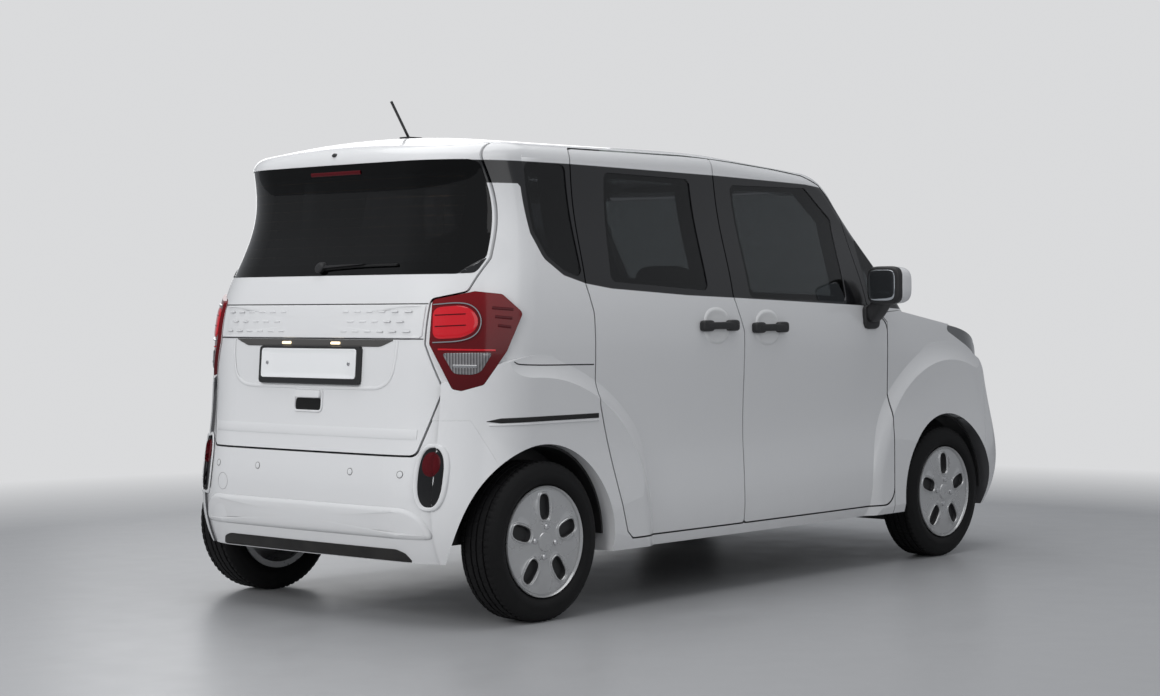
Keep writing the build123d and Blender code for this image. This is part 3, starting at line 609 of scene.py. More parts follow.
# Finishes of the solids that keep their shape.
NODE_FINISH = {
    "body_paint": ("body_side_left", "body_side_right", "roof", "front_fenders", "front_bumper",
                   "rear_bumper", "bonnet", "tailgate", "door_front_right", "door_front_left",
                   "door_rear_left", "sliding_door"),
    "black_plastic": ("cowl", "grille", "wheel_liners", "antenna"),
    "tinted_glass": ("side_glass", "sliding_door_glass", "door_rear_left_glass", "door_front_right_glass",
                     "door_front_left_glass"),
    "rear_screen": ("tailgate_glass",),
    "clear_glass": ("windscreen",),
    "lamp_lens": ("tail_lamps",),
    "head_lens": ("headlamps",),
    "dark_steel": ("floor_pan", "rear_axle", "front_suspension", "fuel_tank"),
    "cast_metal": ("engine", "knuckle_left", "knuckle_right"),
    "silencer_steel": ("exhaust",),
    "dash_plastic": ("dashboard", "steering_column", "steering_wheel"),
}

# Plain finishes that gather dust: name, colour, roughness, grain and bump.
DUSTY_FINISHES = (
    ("black_plastic", (0.018, 0.018, 0.019, 1), 0.48, 900, 0.25),
    ("dash_plastic", (0.045, 0.045, 0.048, 1), 0.55, 700, 0.35),
    # slot_black is also painted shade: under the gate handle bar, and in part under the rear bumper.
    ("slot_black", (0.004, 0.004, 0.004, 1), 0.60, 500, 0.10),
    ("slot_gloss", (0.004, 0.004, 0.005, 1), 0.34, 500, 0.05),
    # brow_shade is painted shadow where it lies under the plate recess's brow.
    ("brow_shade", (0.075, 0.072, 0.070, 1), 0.50, 400, 0.10),
    ("seam_grey", (0.36, 0.36, 0.37, 1), 0.45, 400, 0.05),
    ("cup_shade", (0.70, 0.705, 0.71, 1), 0.22, 600, 0.02),
    ("dark_steel", (0.05, 0.05, 0.052, 1), 0.62, 120, 0.30),
    ("plate_white", (0.78, 0.79, 0.80, 1), 0.35, 300, 0.05),
    ("sensor_white", (0.70, 0.71, 0.72, 1), 0.30, 500, 0.05))

# Bare metals: name, colour, roughness and grain.
METAL_FINISHES = (
    ("cast_metal", (0.33, 0.34, 0.35, 1), 0.50, 260), ("silencer_steel", (0.30, 0.29, 0.28, 1), 0.40, 90),
    ("bright_trim", (0.62, 0.62, 0.63, 1), 0.14, 400), ("nut_steel", (0.62, 0.62, 0.63, 1), 0.20, 500))

PAINT_DUST, PLASTIC_DUST = (0.42, 0.40, 0.37, 1), (0.16, 0.15, 0.14, 1)
COVER_DUST, TYRE_DUST = (0.14, 0.13, 0.12, 1), (0.030, 0.029, 0.028, 1)
RUBBER = (0.006, 0.006, 0.0065, 1)
LAMP_FOOT_RED = (0.07, 0.001, 0.003, 1)
LAMP_FOOT, LAMP_FADE = 0.80, 3.0
FLUTES_PER_METRE = 70.0
THREADS = 2200.0
THREAD_PALE = (0.085, 0.085, 0.092, 1)

# Rear screen: heating wires, and the black border's inner edge beside, below and above.
WIRES_PER_METRE, WIRE_SHARE, WIRE_BROWN = 30.0, 0.07, (0.10, 0.065, 0.04, 1)
BORDER_SIDE, BORDER_LOW, BORDER_HIGH, BORDER_BLACK = 0.555, 1.238, 1.548, (0.002, 0.002, 0.002, 1)
SCREEN_TINT_SHARE = 0.35


class CAR_OT_finishes(bpy.types.Operator):
    """Make every material and paint the solids that keep their shape"""
    bl_idname = "car.finishes"
    bl_label = "Finishes"

    def execute(self, context):
        look = context.scene.car_finish
        for make in (grain_group, dust_group, band_group, inside_group):
            make()
        self.painted(look)
        self.glazed(look)
        self.lamps(look)
        self.woven(look)
        for material, names in NODE_FINISH.items():
            for name in names:
                mesh = NODES[name].data
                mesh.materials.clear()
                mesh.materials.append(MATERIALS[material])
        return {"FINISHED"}

    def painted(self, look):
        """Paint, plastic, metal and rubber."""
        gloss = dict(roughness=0.20, grain=900, spread=0.04, bump=0.012, coat_weight=0.5, coat_roughness=0.03)
        paint = Finish("body_paint", look.paint, **gloss)
        worn = paint.dusty(look.paint, PAINT_DUST, 0.25, 0.45)
        two_tone = paint.mix(paint.group("window_band").outputs["Mask"], worn, look.band)
        paint.colour(paint.lined(two_tone, look.lining))
        Finish("body_paint_plain", look.paint, **gloss)
        Finish("band_black", look.band, 0.12, grain=700, spread=0.03, bump=0.01, coat_weight=0.6)
        for name, colour, roughness, grain, bump in DUSTY_FINISHES:
            plain = Finish(name, colour, roughness, grain=grain, bump=bump)
            plain.colour(plain.dusty(colour, PLASTIC_DUST, 0.35, 0.5))
        for name, colour, roughness, grain in METAL_FINISHES:
            Finish(name, colour, roughness, metallic=1.0, grain=grain, bump=0.12)
        silver = Finish("cover_silver", look.silver, 0.28, metallic=0.6, grain=1400, bump=0.05,
                        coat_weight=0.25)
        silver.colour(silver.dusty(look.silver, COVER_DUST, 0.4, 0.5))
        # Painted shade: dark slot floors standing for the hollow behind each cover slot.
        Finish("slot_painted_shade", (0.020, 0.020, 0.021, 1), 0.50, metallic=0.2, grain=1200, bump=0.08)
        rubber = Finish("tyre_rubber", RUBBER, 0.66, grain=650, bump=0.35, specular_ior_level=0.2)
        rubber.colour(rubber.dusty(RUBBER, TYRE_DUST, 0.3, 0.65))

    def glazed(self, look):
        """Window glass, the rear screen with its wires and border, and mirror glass."""
        clear = dict(roughness=0.03, grain=40, spread=0.015, bump=0.0, transmission_weight=1.0, ior=1.45)
        Finish("tinted_glass", look.tint, **clear)
        Finish("clear_glass", (0.62, 0.68, 0.66, 1), **clear)
        screen = Finish("rear_screen", look.tint, **clear)
        _, y, z = screen.axes()
        wires = screen.maths("LESS_THAN", screen.maths("FRACT", screen.maths("MULTIPLY", z, WIRES_PER_METRE)),
                             WIRE_SHARE)
        beside = screen.maths("GREATER_THAN", screen.maths("ABSOLUTE", y), BORDER_SIDE)
        below = screen.maths("LESS_THAN", z, BORDER_LOW)
        above = screen.maths("GREATER_THAN", z, BORDER_HIGH)
        border = screen.maths("MAXIMUM", beside, screen.maths("MAXIMUM", below, above))
        wired = screen.mix(wires, tuple(c * SCREEN_TINT_SHARE for c in look.tint), WIRE_BROWN)
        screen.colour(screen.mix(border, wired, BORDER_BLACK))
        Finish("mirror_glass", (0.62, 0.65, 0.68, 1), 0.03, metallic=1.0, grain=60, spread=0.01, bump=0.0)

    def lamps(self, look):
        """Lenses and lit parts of the lamps."""
        lens = Finish("lamp_lens", look.lamp_red, 0.14, grain=300, spread=0.03, bump=0.01, coat_weight=0.25,
                      coat_roughness=0.02, specular_ior_level=0.25)
        height = lens.maths("SUBTRACT", lens.axes()[2], LAMP_FOOT)
        red = lens.mix(lens.maths("MULTIPLY", height, LAMP_FADE, clamp=True), LAMP_FOOT_RED, look.lamp_red)
        lens.colour(lens.lined(red, look.lining))
        reverse = Finish("reverse_clear", (0.45, 0.45, 0.46, 1), 0.08, metallic=0.3, grain=250, bump=0.02,
                         coat_weight=1.0)
        x, y, _ = reverse.axes()
        flutes = reverse.maths("MULTIPLY", reverse.maths("SUBTRACT", x, y), FLUTES_PER_METRE)
        reverse.colour(reverse.mix(reverse.maths("FRACT", flutes), (0.05, 0.048, 0.05, 1),
                                   (0.34, 0.33, 0.34, 1)))
        Finish("lamp_bright", (0.46, 0.003, 0.011, 1), 0.12, grain=300, bump=0.02, coat_weight=0.4,
               emission_color=(0.8, 0.01, 0.02, 1), emission_strength=0.12)
        Finish("lamp_dark", (0.075, 0.002, 0.005, 1), 0.22, grain=300, bump=0.02, specular_ior_level=0.25)
        Finish("head_lens", (0.12, 0.125, 0.13, 1), 0.08, metallic=0.2, grain=200, bump=0.02, coat_weight=0.6)
        Finish("plate_lamp", (1.0, 0.86, 0.62, 1), 0.3, grain=200, emission_color=(1.0, 0.80, 0.50, 1),
               emission_strength=1.2)

    def woven(self, look):
        """Seat cloth with crossing threads."""
        cloth = Finish("seat_cloth", look.fabric, 0.85, grain=500, bump=0.2, sheen_weight=0.3)
        x, y, z = cloth.axes()
        warp = cloth.maths("SINE", cloth.maths("MULTIPLY", y, THREADS))
        weft = cloth.maths("SINE", cloth.maths("MULTIPLY", cloth.maths("ADD", x, z), THREADS))
        weave = cloth.maths("MULTIPLY_ADD", cloth.maths("MULTIPLY", warp, weft), 0.5)
        cloth.link(weave, cloth.bump.inputs["Height"])
        cloth.colour(cloth.mix(cloth.maths("ADD", weave, 0.5, clamp=True), look.fabric, THREAD_PALE))


WHEELS = (("front_right", -1), ("front_left", 1), ("rear_right", -1), ("rear_left", 1))

# Half of a tyre's section, in metres out from the wheel's middle. The wall is (radius, out).
TREAD_HALF = 0.06
TREAD_LINES = (-0.0600, -0.0470, -0.0465, -0.0395, -0.0390, -0.0165, -0.0160, -0.0090, -0.0085)
GROOVES, GROOVE_HALF = (0.0430, 0.0125), 0.0036
SHOULDER_FROM = 0.046
TREAD_CROWN, TREAD_LEAN = 0.0012, 0.9
TYRE_WALL = ((0.1850, -0.058), (0.1945, -0.066), (0.2000, -0.0745), (0.2100, -0.0790), (0.2125, -0.0806),
             (0.2290, -0.0822), (0.2315, -0.0812), (0.2480, -0.0795), (0.2570, -0.0755), (0.2640, -0.0700))
TYRE_EDGE_DROP, TYRE_EDGE_OUT = 0.0055, -0.0640
WALL, GROOVE, SHOULDER, RIB = range(4)
BLOCK_STEPS = 4


def tread_cut(kind, k):
    """How deep the tread is cut at a step round the tyre, as a share of the grooves' depth."""
    last = k % BLOCK_STEPS == BLOCK_STEPS - 1
    if kind == GROOVE:
        return 1.0
    if kind == SHOULDER and last:
        return 0.8
    if kind == RIB and last and k // BLOCK_STEPS % 2 == 0:
        return 0.4
    return 0.0


class CAR_OT_tyres(bpy.types.Operator):
    """Build the four tyres with grooves and shoulder blocks"""
    bl_idname = "car.tyres"
    bl_label = "Tyres"

    def execute(self, context):
        detail = context.scene.car_detail
        steps = detail.tread_blocks * BLOCK_STEPS
        for name, side in WHEELS:
            low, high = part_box("tyre_" + name)
            centre = (low + high) / 2
            radius = (high.z - low.z) / 2
            wall = TYRE_WALL + ((radius - TYRE_EDGE_DROP, TYRE_EDGE_OUT),)
            profile = [(r, y, WALL) for r, y in wall]
            for y in TREAD_LINES + tuple(-y for y in reversed(TREAD_LINES)):
                kind = SHOULDER if abs(y) > SHOULDER_FROM else RIB
                if any(abs(abs(y) - groove) < GROOVE_HALF for groove in GROOVES):
                    kind = GROOVE
                profile.append((radius - TREAD_CROWN * (y / TREAD_HALF) ** 2, y, kind))
            profile += [(r, -y, WALL) for r, y in reversed(wall)]
            verts = []
            for r, y, kind in profile:
                for k in range(steps):
                    deep = r - detail.tread_depth * tread_cut(kind, k)
                    a = 2 * pi * (k + TREAD_LEAN * y / TREAD_HALF) / steps
                    verts.append(centre + Vector((deep * cos(a), y * side, deep * sin(a))))
            shape("road_tyre_" + name, verts, ring_faces(len(profile), steps, closed=True), "tyre_rubber",
                  "wheel_" + name, replaces=("tyre_" + name,))
        return {"FINISHED"}


# Wheel cover. Profiles are (radius, out along the axle).
COVER_INNER, COVER_OUTER, SLOT_MIDDLE = 0.036, 0.180, 0.120
SLOT_HALF_LONG, SLOT_HALF_WIDE, SLOT_POWER = 0.044, 0.0255, 3.0
SLOT_LIP = 0.014
HUB_STEPS, SIDE_STEPS, RIM_STEPS = 12, 24, 32

# A slot from its middle out: share of its outline, distance beyond that, height in slot depths.
SLOT_RINGS = ((0.50, 0.0, -1.0), (0.88, 0.0, -1.0), (0.93, 0.0, -0.85), (0.985, 0.0, -0.06),
              (1.0, 0.0022, 0.20), (1.0, 0.0052, 0.20), (1.0, 0.0078, 0.0), (1.0, 0.0098, 0.10),
              (1.0, 0.0120, 0.10), (1.0, SLOT_LIP, 0.0))
COVER_SHARES = (0.35, 0.7, 1.0)


def cover_out(r):
    """The domed face of a wheel cover, out along the axle."""
    return 0.066 + 0.006 * (1 - (r / 0.186) ** 2)


HUB = [(COVER_INNER, cover_out(COVER_INNER)), (0.0345, 0.0715), (0.0320, 0.0752), (0.0280, 0.0760),
       (0.0120, 0.0764), (0.0, 0.0765)]
RIM = [(COVER_OUTER, cover_out(COVER_OUTER)), (0.1820, 0.0635), (0.1850, 0.0640), (0.1870, 0.0700),
       (0.1912, 0.0750), (0.1928, 0.0700), (0.1820, 0.0580), (0.1815, -0.0540), (0.1925, -0.0640),
       (0.1925, -0.0745), (0.1700, -0.0745), (0.1695, 0.0400), (0.0740, 0.0360), (0.0740, -0.0300),
       (0.0320, -0.0300), (0.0320, 0.0480), (0.0, 0.0490)]
NUT = [(0.0, 0.0790), (0.0060, 0.0784), (0.0105, 0.0755), (0.0115, 0.0705), (0.0140, 0.0695),
       (0.0142, 0.0640), (0.0, 0.0630)]
NUT_COUNT, NUT_CIRCLE, NUT_TURN = 4, 0.052, pi * 0.46


def slot_reach(turn):
    """How far a cover slot's rounded outline lies from its middle, in a direction."""
    long, wide = abs(cos(turn) / SLOT_HALF_LONG), abs(sin(turn) / SLOT_HALF_WIDE)
    return (long ** SLOT_POWER + wide ** SLOT_POWER) ** (-1 / SLOT_POWER)


def cover_sector(step, depth):
    """Loops of (radius, angle, rise) round one slot, from its middle to the edge of its part of the cover."""
    wide, half = COVER_OUTER - COVER_INNER, step / 2
    edge = [(COVER_INNER, -half + step * k / HUB_STEPS) for k in range(HUB_STEPS)]
    edge += [(COVER_INNER + wide * k / SIDE_STEPS, half) for k in range(SIDE_STEPS)]
    edge += [(COVER_OUTER, half - step * k / RIM_STEPS) for k in range(RIM_STEPS)]
    edge += [(COVER_OUTER - wide * k / SIDE_STEPS, -half) for k in range(SIDE_STEPS)]
    loops = [[] for _ in SLOT_RINGS + COVER_SHARES]
    for r, away in edge:
        far = Vector((r * cos(away) - SLOT_MIDDLE, r * sin(away)))
        way = far.normalized()
        reach = slot_reach(atan2(way.y, way.x))
        for loop, (share, gap, rise) in zip(loops, SLOT_RINGS):
            loop.append((way * (reach * share + gap), rise * depth))
        for loop, share in zip(loops[len(SLOT_RINGS):], COVER_SHARES):
            loop.append((way * (reach + SLOT_LIP) * (1 - share) + far * share, 0.0))
    return [[(hypot(SLOT_MIDDLE + q.x, q.y), atan2(q.y, SLOT_MIDDLE + q.x), rise) for q, rise in loop]
            for loop in loops]


class CAR_OT_wheels(bpy.types.Operator):
    """Build the four wheels: slotted covers, rims and nuts"""
    bl_idname = "car.wheels"
    bl_label = "Wheels"

    def execute(self, context):
        detail = context.scene.car_detail
        slots, depth = detail.cover_slots, detail.slot_depth
        step = 2 * pi / slots
        loops = cover_sector(step, depth)
        count = len(loops[0])
        for name, side in WHEELS:
            low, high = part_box("wheel_" + name)
            centre = (low + high) / 2
            verts, faces = [], []
            for k in range(slots):
                turn = pi / 2 + k * step
                base = len(verts)
                for r, a, rise in (spot for loop in loops for spot in loop):
                    out = (cover_out(r) + rise) * side
                    verts.append(centre + Vector((r * cos(a + turn), out, r * sin(a + turn))))
                faces += ring_faces(len(loops), count, base=base)
                floor = len(verts)
                out = (cover_out(SLOT_MIDDLE) - depth) * side
                verts.append(centre + Vector((SLOT_MIDDLE * cos(turn), out, SLOT_MIDDLE * sin(turn))))
                faces += [(base + i, base + (i + 1) % count, floor) for i in range(count)]
            for profile, around in ((HUB, HUB_STEPS * slots), (RIM, RIM_STEPS * slots)):
                more, more_faces = lathe(profile, around, centre, side, base=len(verts))
                verts += more
                faces += more_faces
            wheel = shape("slotted_wheel_" + name, verts, faces, "cover_silver", "wheel_" + name,
                          replaces=("wheel_" + name,))
            self.darken_slots(wheel.data, centre, side, depth)
            for k in range(NUT_COUNT):
                a = NUT_TURN + k * pi / 2
                at = centre + Vector((NUT_CIRCLE * cos(a), 0, NUT_CIRCLE * sin(a)))
                shape(f"wheel_nut_{name}_{k}", *lathe(NUT, 24, at, side), "nut_steel", "wheel_" + name)
        return {"FINISHED"}

    def darken_slots(self, mesh, centre, side, depth):
        """Give the slots' deep faces a dark painted shade, for the hollow behind each slot."""
        mesh.materials.append(MATERIALS["slot_painted_shade"])
        for face in mesh.polygons:
            at = face.center - centre
            r = hypot(at.x, at.z)
            if 0.07 < r < 0.17 and 0.045 < at.y * side < cover_out(r) - depth * 0.4:
                face.material_index = 1


# Tail outlines, as (across, up).
PLATE_RECESS = [(-0.430, 0.972), (-0.426, 0.900), (-0.408, 0.838), (-0.360, 0.809), (-0.280, 0.806)]
# Outline of the painted shadow under the plate recess's brow.
PLATE_BROW_SHADOW = [(-0.42, 0.9745), (0.42, 0.9745), (0.35, 0.950), (-0.35, 0.950)]
SCREEN_CORNER = [(0.590, 1.199), (0.635, 1.201), (0.6420, 1.215), (0.6480, 1.252), (0.640, 1.252)]
BUMPER_SHELF = [(-0.600, 0.300), (0.600, 0.300), (0.565, 0.378), (0.500, 0.408), (-0.500, 0.408),
                (-0.565, 0.378)]
BUMPER_LIP_AND_SHADOW = [(-0.500, 0.219), (0.500, 0.219), (0.478, 0.250), (0.440, 0.262), (-0.440, 0.262),
                  (-0.478, 0.250)]
# Rows of raised dashes on the rear strip: how many, and the first one's place across.
DASH_ROWS = ((6, 0.165), (5, 0.195), (6, 0.165))
DASH_LONG, DASH_APART, DASH_FOOT, DASH_ROW = 0.032, 0.060, 1.003, 0.034
PLATE_UP, PLATE_LIGHT_UP = 0.890, 0.9615
BOLT_ACROSS, LIGHT_ACROSS = 0.215, 0.129
POD_ACROSS, POD_UP, REFLECTOR_UP = 0.590, 0.512, 0.556
SENSOR_UP, SENSORS = 0.520, ((0.245, "in"), (0.480, "out"))
LOW_EDGE = [(0.0, 0.002), (0.003, 0.003)]


class CAR_OT_tail(bpy.types.Operator):
    """Dress the tail: strip, plate, handle, wiper and bumper"""
    bl_idname = "car.tail"
    bl_label = "Tail"

    def execute(self, context):
        gate = Trim(Skin("tailgate", "tailgate_glass"), REAR, "tailgate")
        self.strip(gate, context.scene.car_detail.dash_height)
        self.plate(gate)
        self.screen(gate, Trim(Skin("tailgate_glass"), REAR, "tailgate"))
        self.bumper(Trim(Skin("rear_bumper"), REAR, "body"))
        return {"FINISHED"}

    def strip(self, gate, dash_height):
        gate.moulding("rear_strip", box_outline(0, 1.037, 1.056, 0.114, 0.008),
                      [(0.0, 0.003), (0.0015, 0.0045), (0.005, 0.0045)], "body_paint", count=160)
        for up, tag in ((1.0968, "top"), (0.9772, "foot")):
            gate.strip(f"strip_seam_{tag}", [(-0.532, up), (0.532, up)], 0.0035, 0.0012, "slot_black")
        for half, tag in HALVES:
            for row, (count, start) in enumerate(DASH_ROWS):
                for column in range(count):
                    dash = box_outline(half * (start + column * DASH_APART), DASH_FOOT + row * DASH_ROW,
                                       DASH_LONG, dash_height, 0.002)
                    gate.moulding(f"strip_dash_{tag}_{row}_{column}", dash,
                                  [(0.0, 0.0052), (0.0008, 0.0068), (0.0018, 0.0070)], "body_paint", count=28,
                                  back=-0.004)

    def plate(self, gate):
        """The blank plate in its recess, with the handle below it."""
        recess = PLATE_RECESS + [(-y, z) for y, z in reversed(PLATE_RECESS)]
        gate.strip("plate_recess_edge", recess, 0.012, 0.0030, "body_paint", steps=160)
        # A dark sheet painted as the shadow under the recess's top edge.
        gate.moulding("plate_brow_shadow", rounded(PLATE_BROW_SHADOW, 0.010), LOW_EDGE, "brow_shade", count=140)
        gate.moulding("plate_frame", box_outline(0, 0.884, 0.530, 0.134, 0.014),
                      [(0.0, 0.012), (0.002, 0.016), (0.008, 0.016)], "black_plastic", count=120,
                      replaces=("tailgate_fittings",))
        gate.moulding("blank_plate", box_outline(0, PLATE_UP, 0.500, 0.104, 0.010),
                      [(0.0, 0.0165), (0.0012, 0.0178), (0.004, 0.0178), (0.006, 0.0170)], "plate_white",
                      count=120, back=-0.015)
        for half, tag in HALVES:
            gate.moulding(f"plate_bolt_{tag}", disc(half * BOLT_ACROSS, PLATE_UP, 0.007),
                          [(0.0, 0.0190), (0.002, 0.0212)], "nut_steel", count=24, back=-0.016)
            light = box_outline(half * LIGHT_ACROSS, PLATE_LIGHT_UP, 0.046, 0.010, 0.004)
            gate.moulding(f"plate_light_{tag}", light, [(0.0, 0.006), (0.002, 0.009)], "plate_lamp", count=32)
        gate.rib("gate_handle_rim", box_outline(0, 0.761, 0.152, 0.086, 0.022), 0.008, 0.005, "body_paint")
        # The cup is a dark sheet painted as the shade in the finger recess under the bar.
        gate.moulding("gate_handle_cup_shadow", box_outline(0, 0.746, 0.132, 0.044, 0.014),
                      [(0.0, 0.0012), (0.004, 0.0012)], "slot_black", count=64)
        gate.moulding("gate_handle_bar", box_outline(0, 0.783, 0.134, 0.030, 0.010),
                      [(0.0, 0.008), (0.003, 0.012), (0.007, 0.012)], "body_paint", count=64)

    def screen(self, gate, glass):
        """Wiper, window corners, crease, washer jet and high stop lamp."""
        glass.moulding("wiper_boss", oval(0.020, 1.228, 0.021, 0.019),
                       [(0.0, 0.016), (0.004, 0.021), (0.010, 0.022)], "black_plastic", count=40)
        glass.strip("wiper_arm", [(-0.200, 1.237), (0.024, 1.228)], 0.018, 0.015, "black_plastic", steps=40,
                    taper=1.6)
        glass.strip("wiper_blade", [(-0.365, 1.232), (-0.180, 1.230), (-0.010, 1.221)], 0.009, 0.009,
                    "slot_black", steps=60)
        for half, tag in HALVES:
            gate.moulding(f"screen_corner_{tag}", rounded([(half * y, z) for y, z in SCREEN_CORNER], 0.006),
                          [(0.0, 0.0012), (0.002, 0.0018)], "band_black", count=60)
        gate.strip("gate_crease", [(-0.528, 0.655), (0.528, 0.655)], 0.034, 0.0028, "body_paint", steps=120)
        gate.moulding("washer_jet", oval(0.0, 1.628, 0.010, 0.007), [(0.0, 0.006), (0.002, 0.008)],
                      "black_plastic", count=28)
        glass.strip("high_stop_lamp", [(-0.13, 1.562), (0.13, 1.562)], 0.014, 0.004, "lamp_dark")

    def bumper(self, bumper):
        for half, tag in HALVES:
            across = half * POD_ACROSS
            bumper.rib(f"pod_rim_{tag}", oval(across, POD_UP, 0.056, 0.114, 2.6), 0.014, 0.009, "body_paint",
                       count=120)
            bumper.moulding(f"pod_bowl_{tag}", oval(across, POD_UP, 0.044, 0.103, 2.6),
                            [(0.0, 0.003), (0.004, 0.005), (0.018, 0.0075)], "slot_gloss", count=96,
                            replaces=("rear_reflectors",) if half < 0 else ())
            bumper.moulding(f"pod_reflector_{tag}", oval(across, REFLECTOR_UP, 0.031, 0.042, 2.2),
                            [(0.0, 0.007), (0.004, 0.010), (0.012, 0.0115)], "lamp_dark", count=64)
            for at, where in SENSORS:
                bumper.rib(f"sensor_ring_{tag}_{where}", disc(half * at, SENSOR_UP, 0.0125), 0.0015, 0.0012,
                           "brow_shade", count=40)
                bumper.moulding(f"sensor_{tag}_{where}", disc(half * at, SENSOR_UP, 0.0105),
                                [(0.0, 0.0012), (0.002, 0.0022)], "sensor_white", count=32)
        bumper.rib("tow_cap_seam", disc(0.445, 0.455, 0.031), 0.0015, 0.0010, "seam_grey", count=60)
        bumper.moulding("bumper_shelf", rounded(BUMPER_SHELF, 0.03),
                        [(0.0, 0.001), (0.006, 0.007), (0.016, 0.009)], "body_paint", count=200)
        # Partly the real black lip, partly painted shadow under the bumper's bottom edge.
        bumper.moulding("bumper_lip_and_shadow", rounded(BUMPER_LIP_AND_SHADOW, 0.008), LOW_EDGE, "slot_black", count=200)


# Tail lamp outlines, drawn across the corner of the car, right and left alike.
LAMP_BOW = [(-0.800, 1.094), (-0.700, 1.102), (-0.655, 1.084), (-0.634, 1.040), (-0.650, 0.994),
            (-0.700, 0.970), (-0.803, 0.966)]
LAMP_CORE = [(-0.800, 1.084), (-0.702, 1.091), (-0.664, 1.075), (-0.645, 1.039), (-0.659, 1.003),
             (-0.703, 0.981), (-0.803, 0.977)]
LAMP_WINDOW = [(-0.772, 0.930), (-0.600, 0.930), (-0.640, 0.866), (-0.668, 0.856), (-0.732, 0.860)]


class CAR_OT_tail_lamps(bpy.types.Operator):
    """Fill the tail lamps: bright bow, chrome edge and reversing window"""
    bl_idname = "car.tail_lamps"
    bl_label = "Tail Lamps"

    def execute(self, context):
        skin = Skin("tail_lamps")
        for view, tag in ((TAIL_RIGHT, "r"), (TAIL_LEFT, "l")):
            lamp = Trim(skin, view, "body")
            lamp.moulding(f"lamp_core_{tag}", rounded(LAMP_CORE, 0.030),
                          [(0.0, 0.002), (0.005, 0.004), (0.016, 0.005)], "lamp_bright", count=120)
            lamp.strip(f"lamp_bow_{tag}", LAMP_BOW, 0.006, 0.006, "bright_trim", steps=90)
            for k, up in enumerate((1.082, 1.052, 1.022)):
                path = [(-0.600 + 0.010 * k, up), (-0.528 - 0.004 * k, up - 0.006)]
                lamp.strip(f"lamp_bar_{tag}_{k}", path, 0.010, 0.002, "lamp_dark", steps=24)
            for k, up in enumerate((1.058, 1.020)):
                path = [(-0.795, up), (-0.690, up + 0.004)]
                lamp.strip(f"lamp_rung_{tag}_{k}", path, 0.005, 0.0065, "lamp_dark", steps=24)
            lamp.strip(f"lamp_line_{tag}", [(-0.785, 0.943), (-0.590, 0.938)], 0.006, 0.003, "lamp_bright",
                       steps=40)
            lamp.moulding(f"lamp_window_{tag}", rounded(LAMP_WINDOW, 0.014),
                          [(0.0, 0.001), (0.003, 0.003), (0.010, 0.004)], "reverse_clear", count=100)
            lamp.strip(f"lamp_shine_{tag}", [(-0.735, 0.886), (-0.655, 0.884)], 0.012, 0.0055, "bright_trim",
                       steps=24)
        return {"FINISHED"}


# Rear door of each side: its node, the body it rides on and its handle's node.
REAR_DOORS = {"right": ("sliding_door", "body", "sliding_door_handle"),
              "left": ("door_rear_left", "door_rear_left", "rear_left_handle")}
CUP_RINGS = [(0.0, -0.0005), (0.006, 0.0032), (0.010, 0.0044), (0.015, 0.0040), (0.024, 0.0018),
             (0.036, 0.0006)]
# Blocks of a mirror's head: name, size, place along the car, finish, edge power and cuts.
MIRROR_HEAD = (("cap", (0.118, 0.158, 0.150), 0.006, "body_paint_plain", 3.6, 17),
               ("bezel", (0.050, 0.154, 0.154), -0.036, "black_plastic", 4.5, 13),
               ("face", (0.006, 0.126, 0.124), -0.0605, "mirror_glass", 5, 9))
MIRROR_OUT, MIRROR_UP, MIRROR_FOOT_UP, STALK_LEAN = 0.868, 1.158, 1.030, 0.62


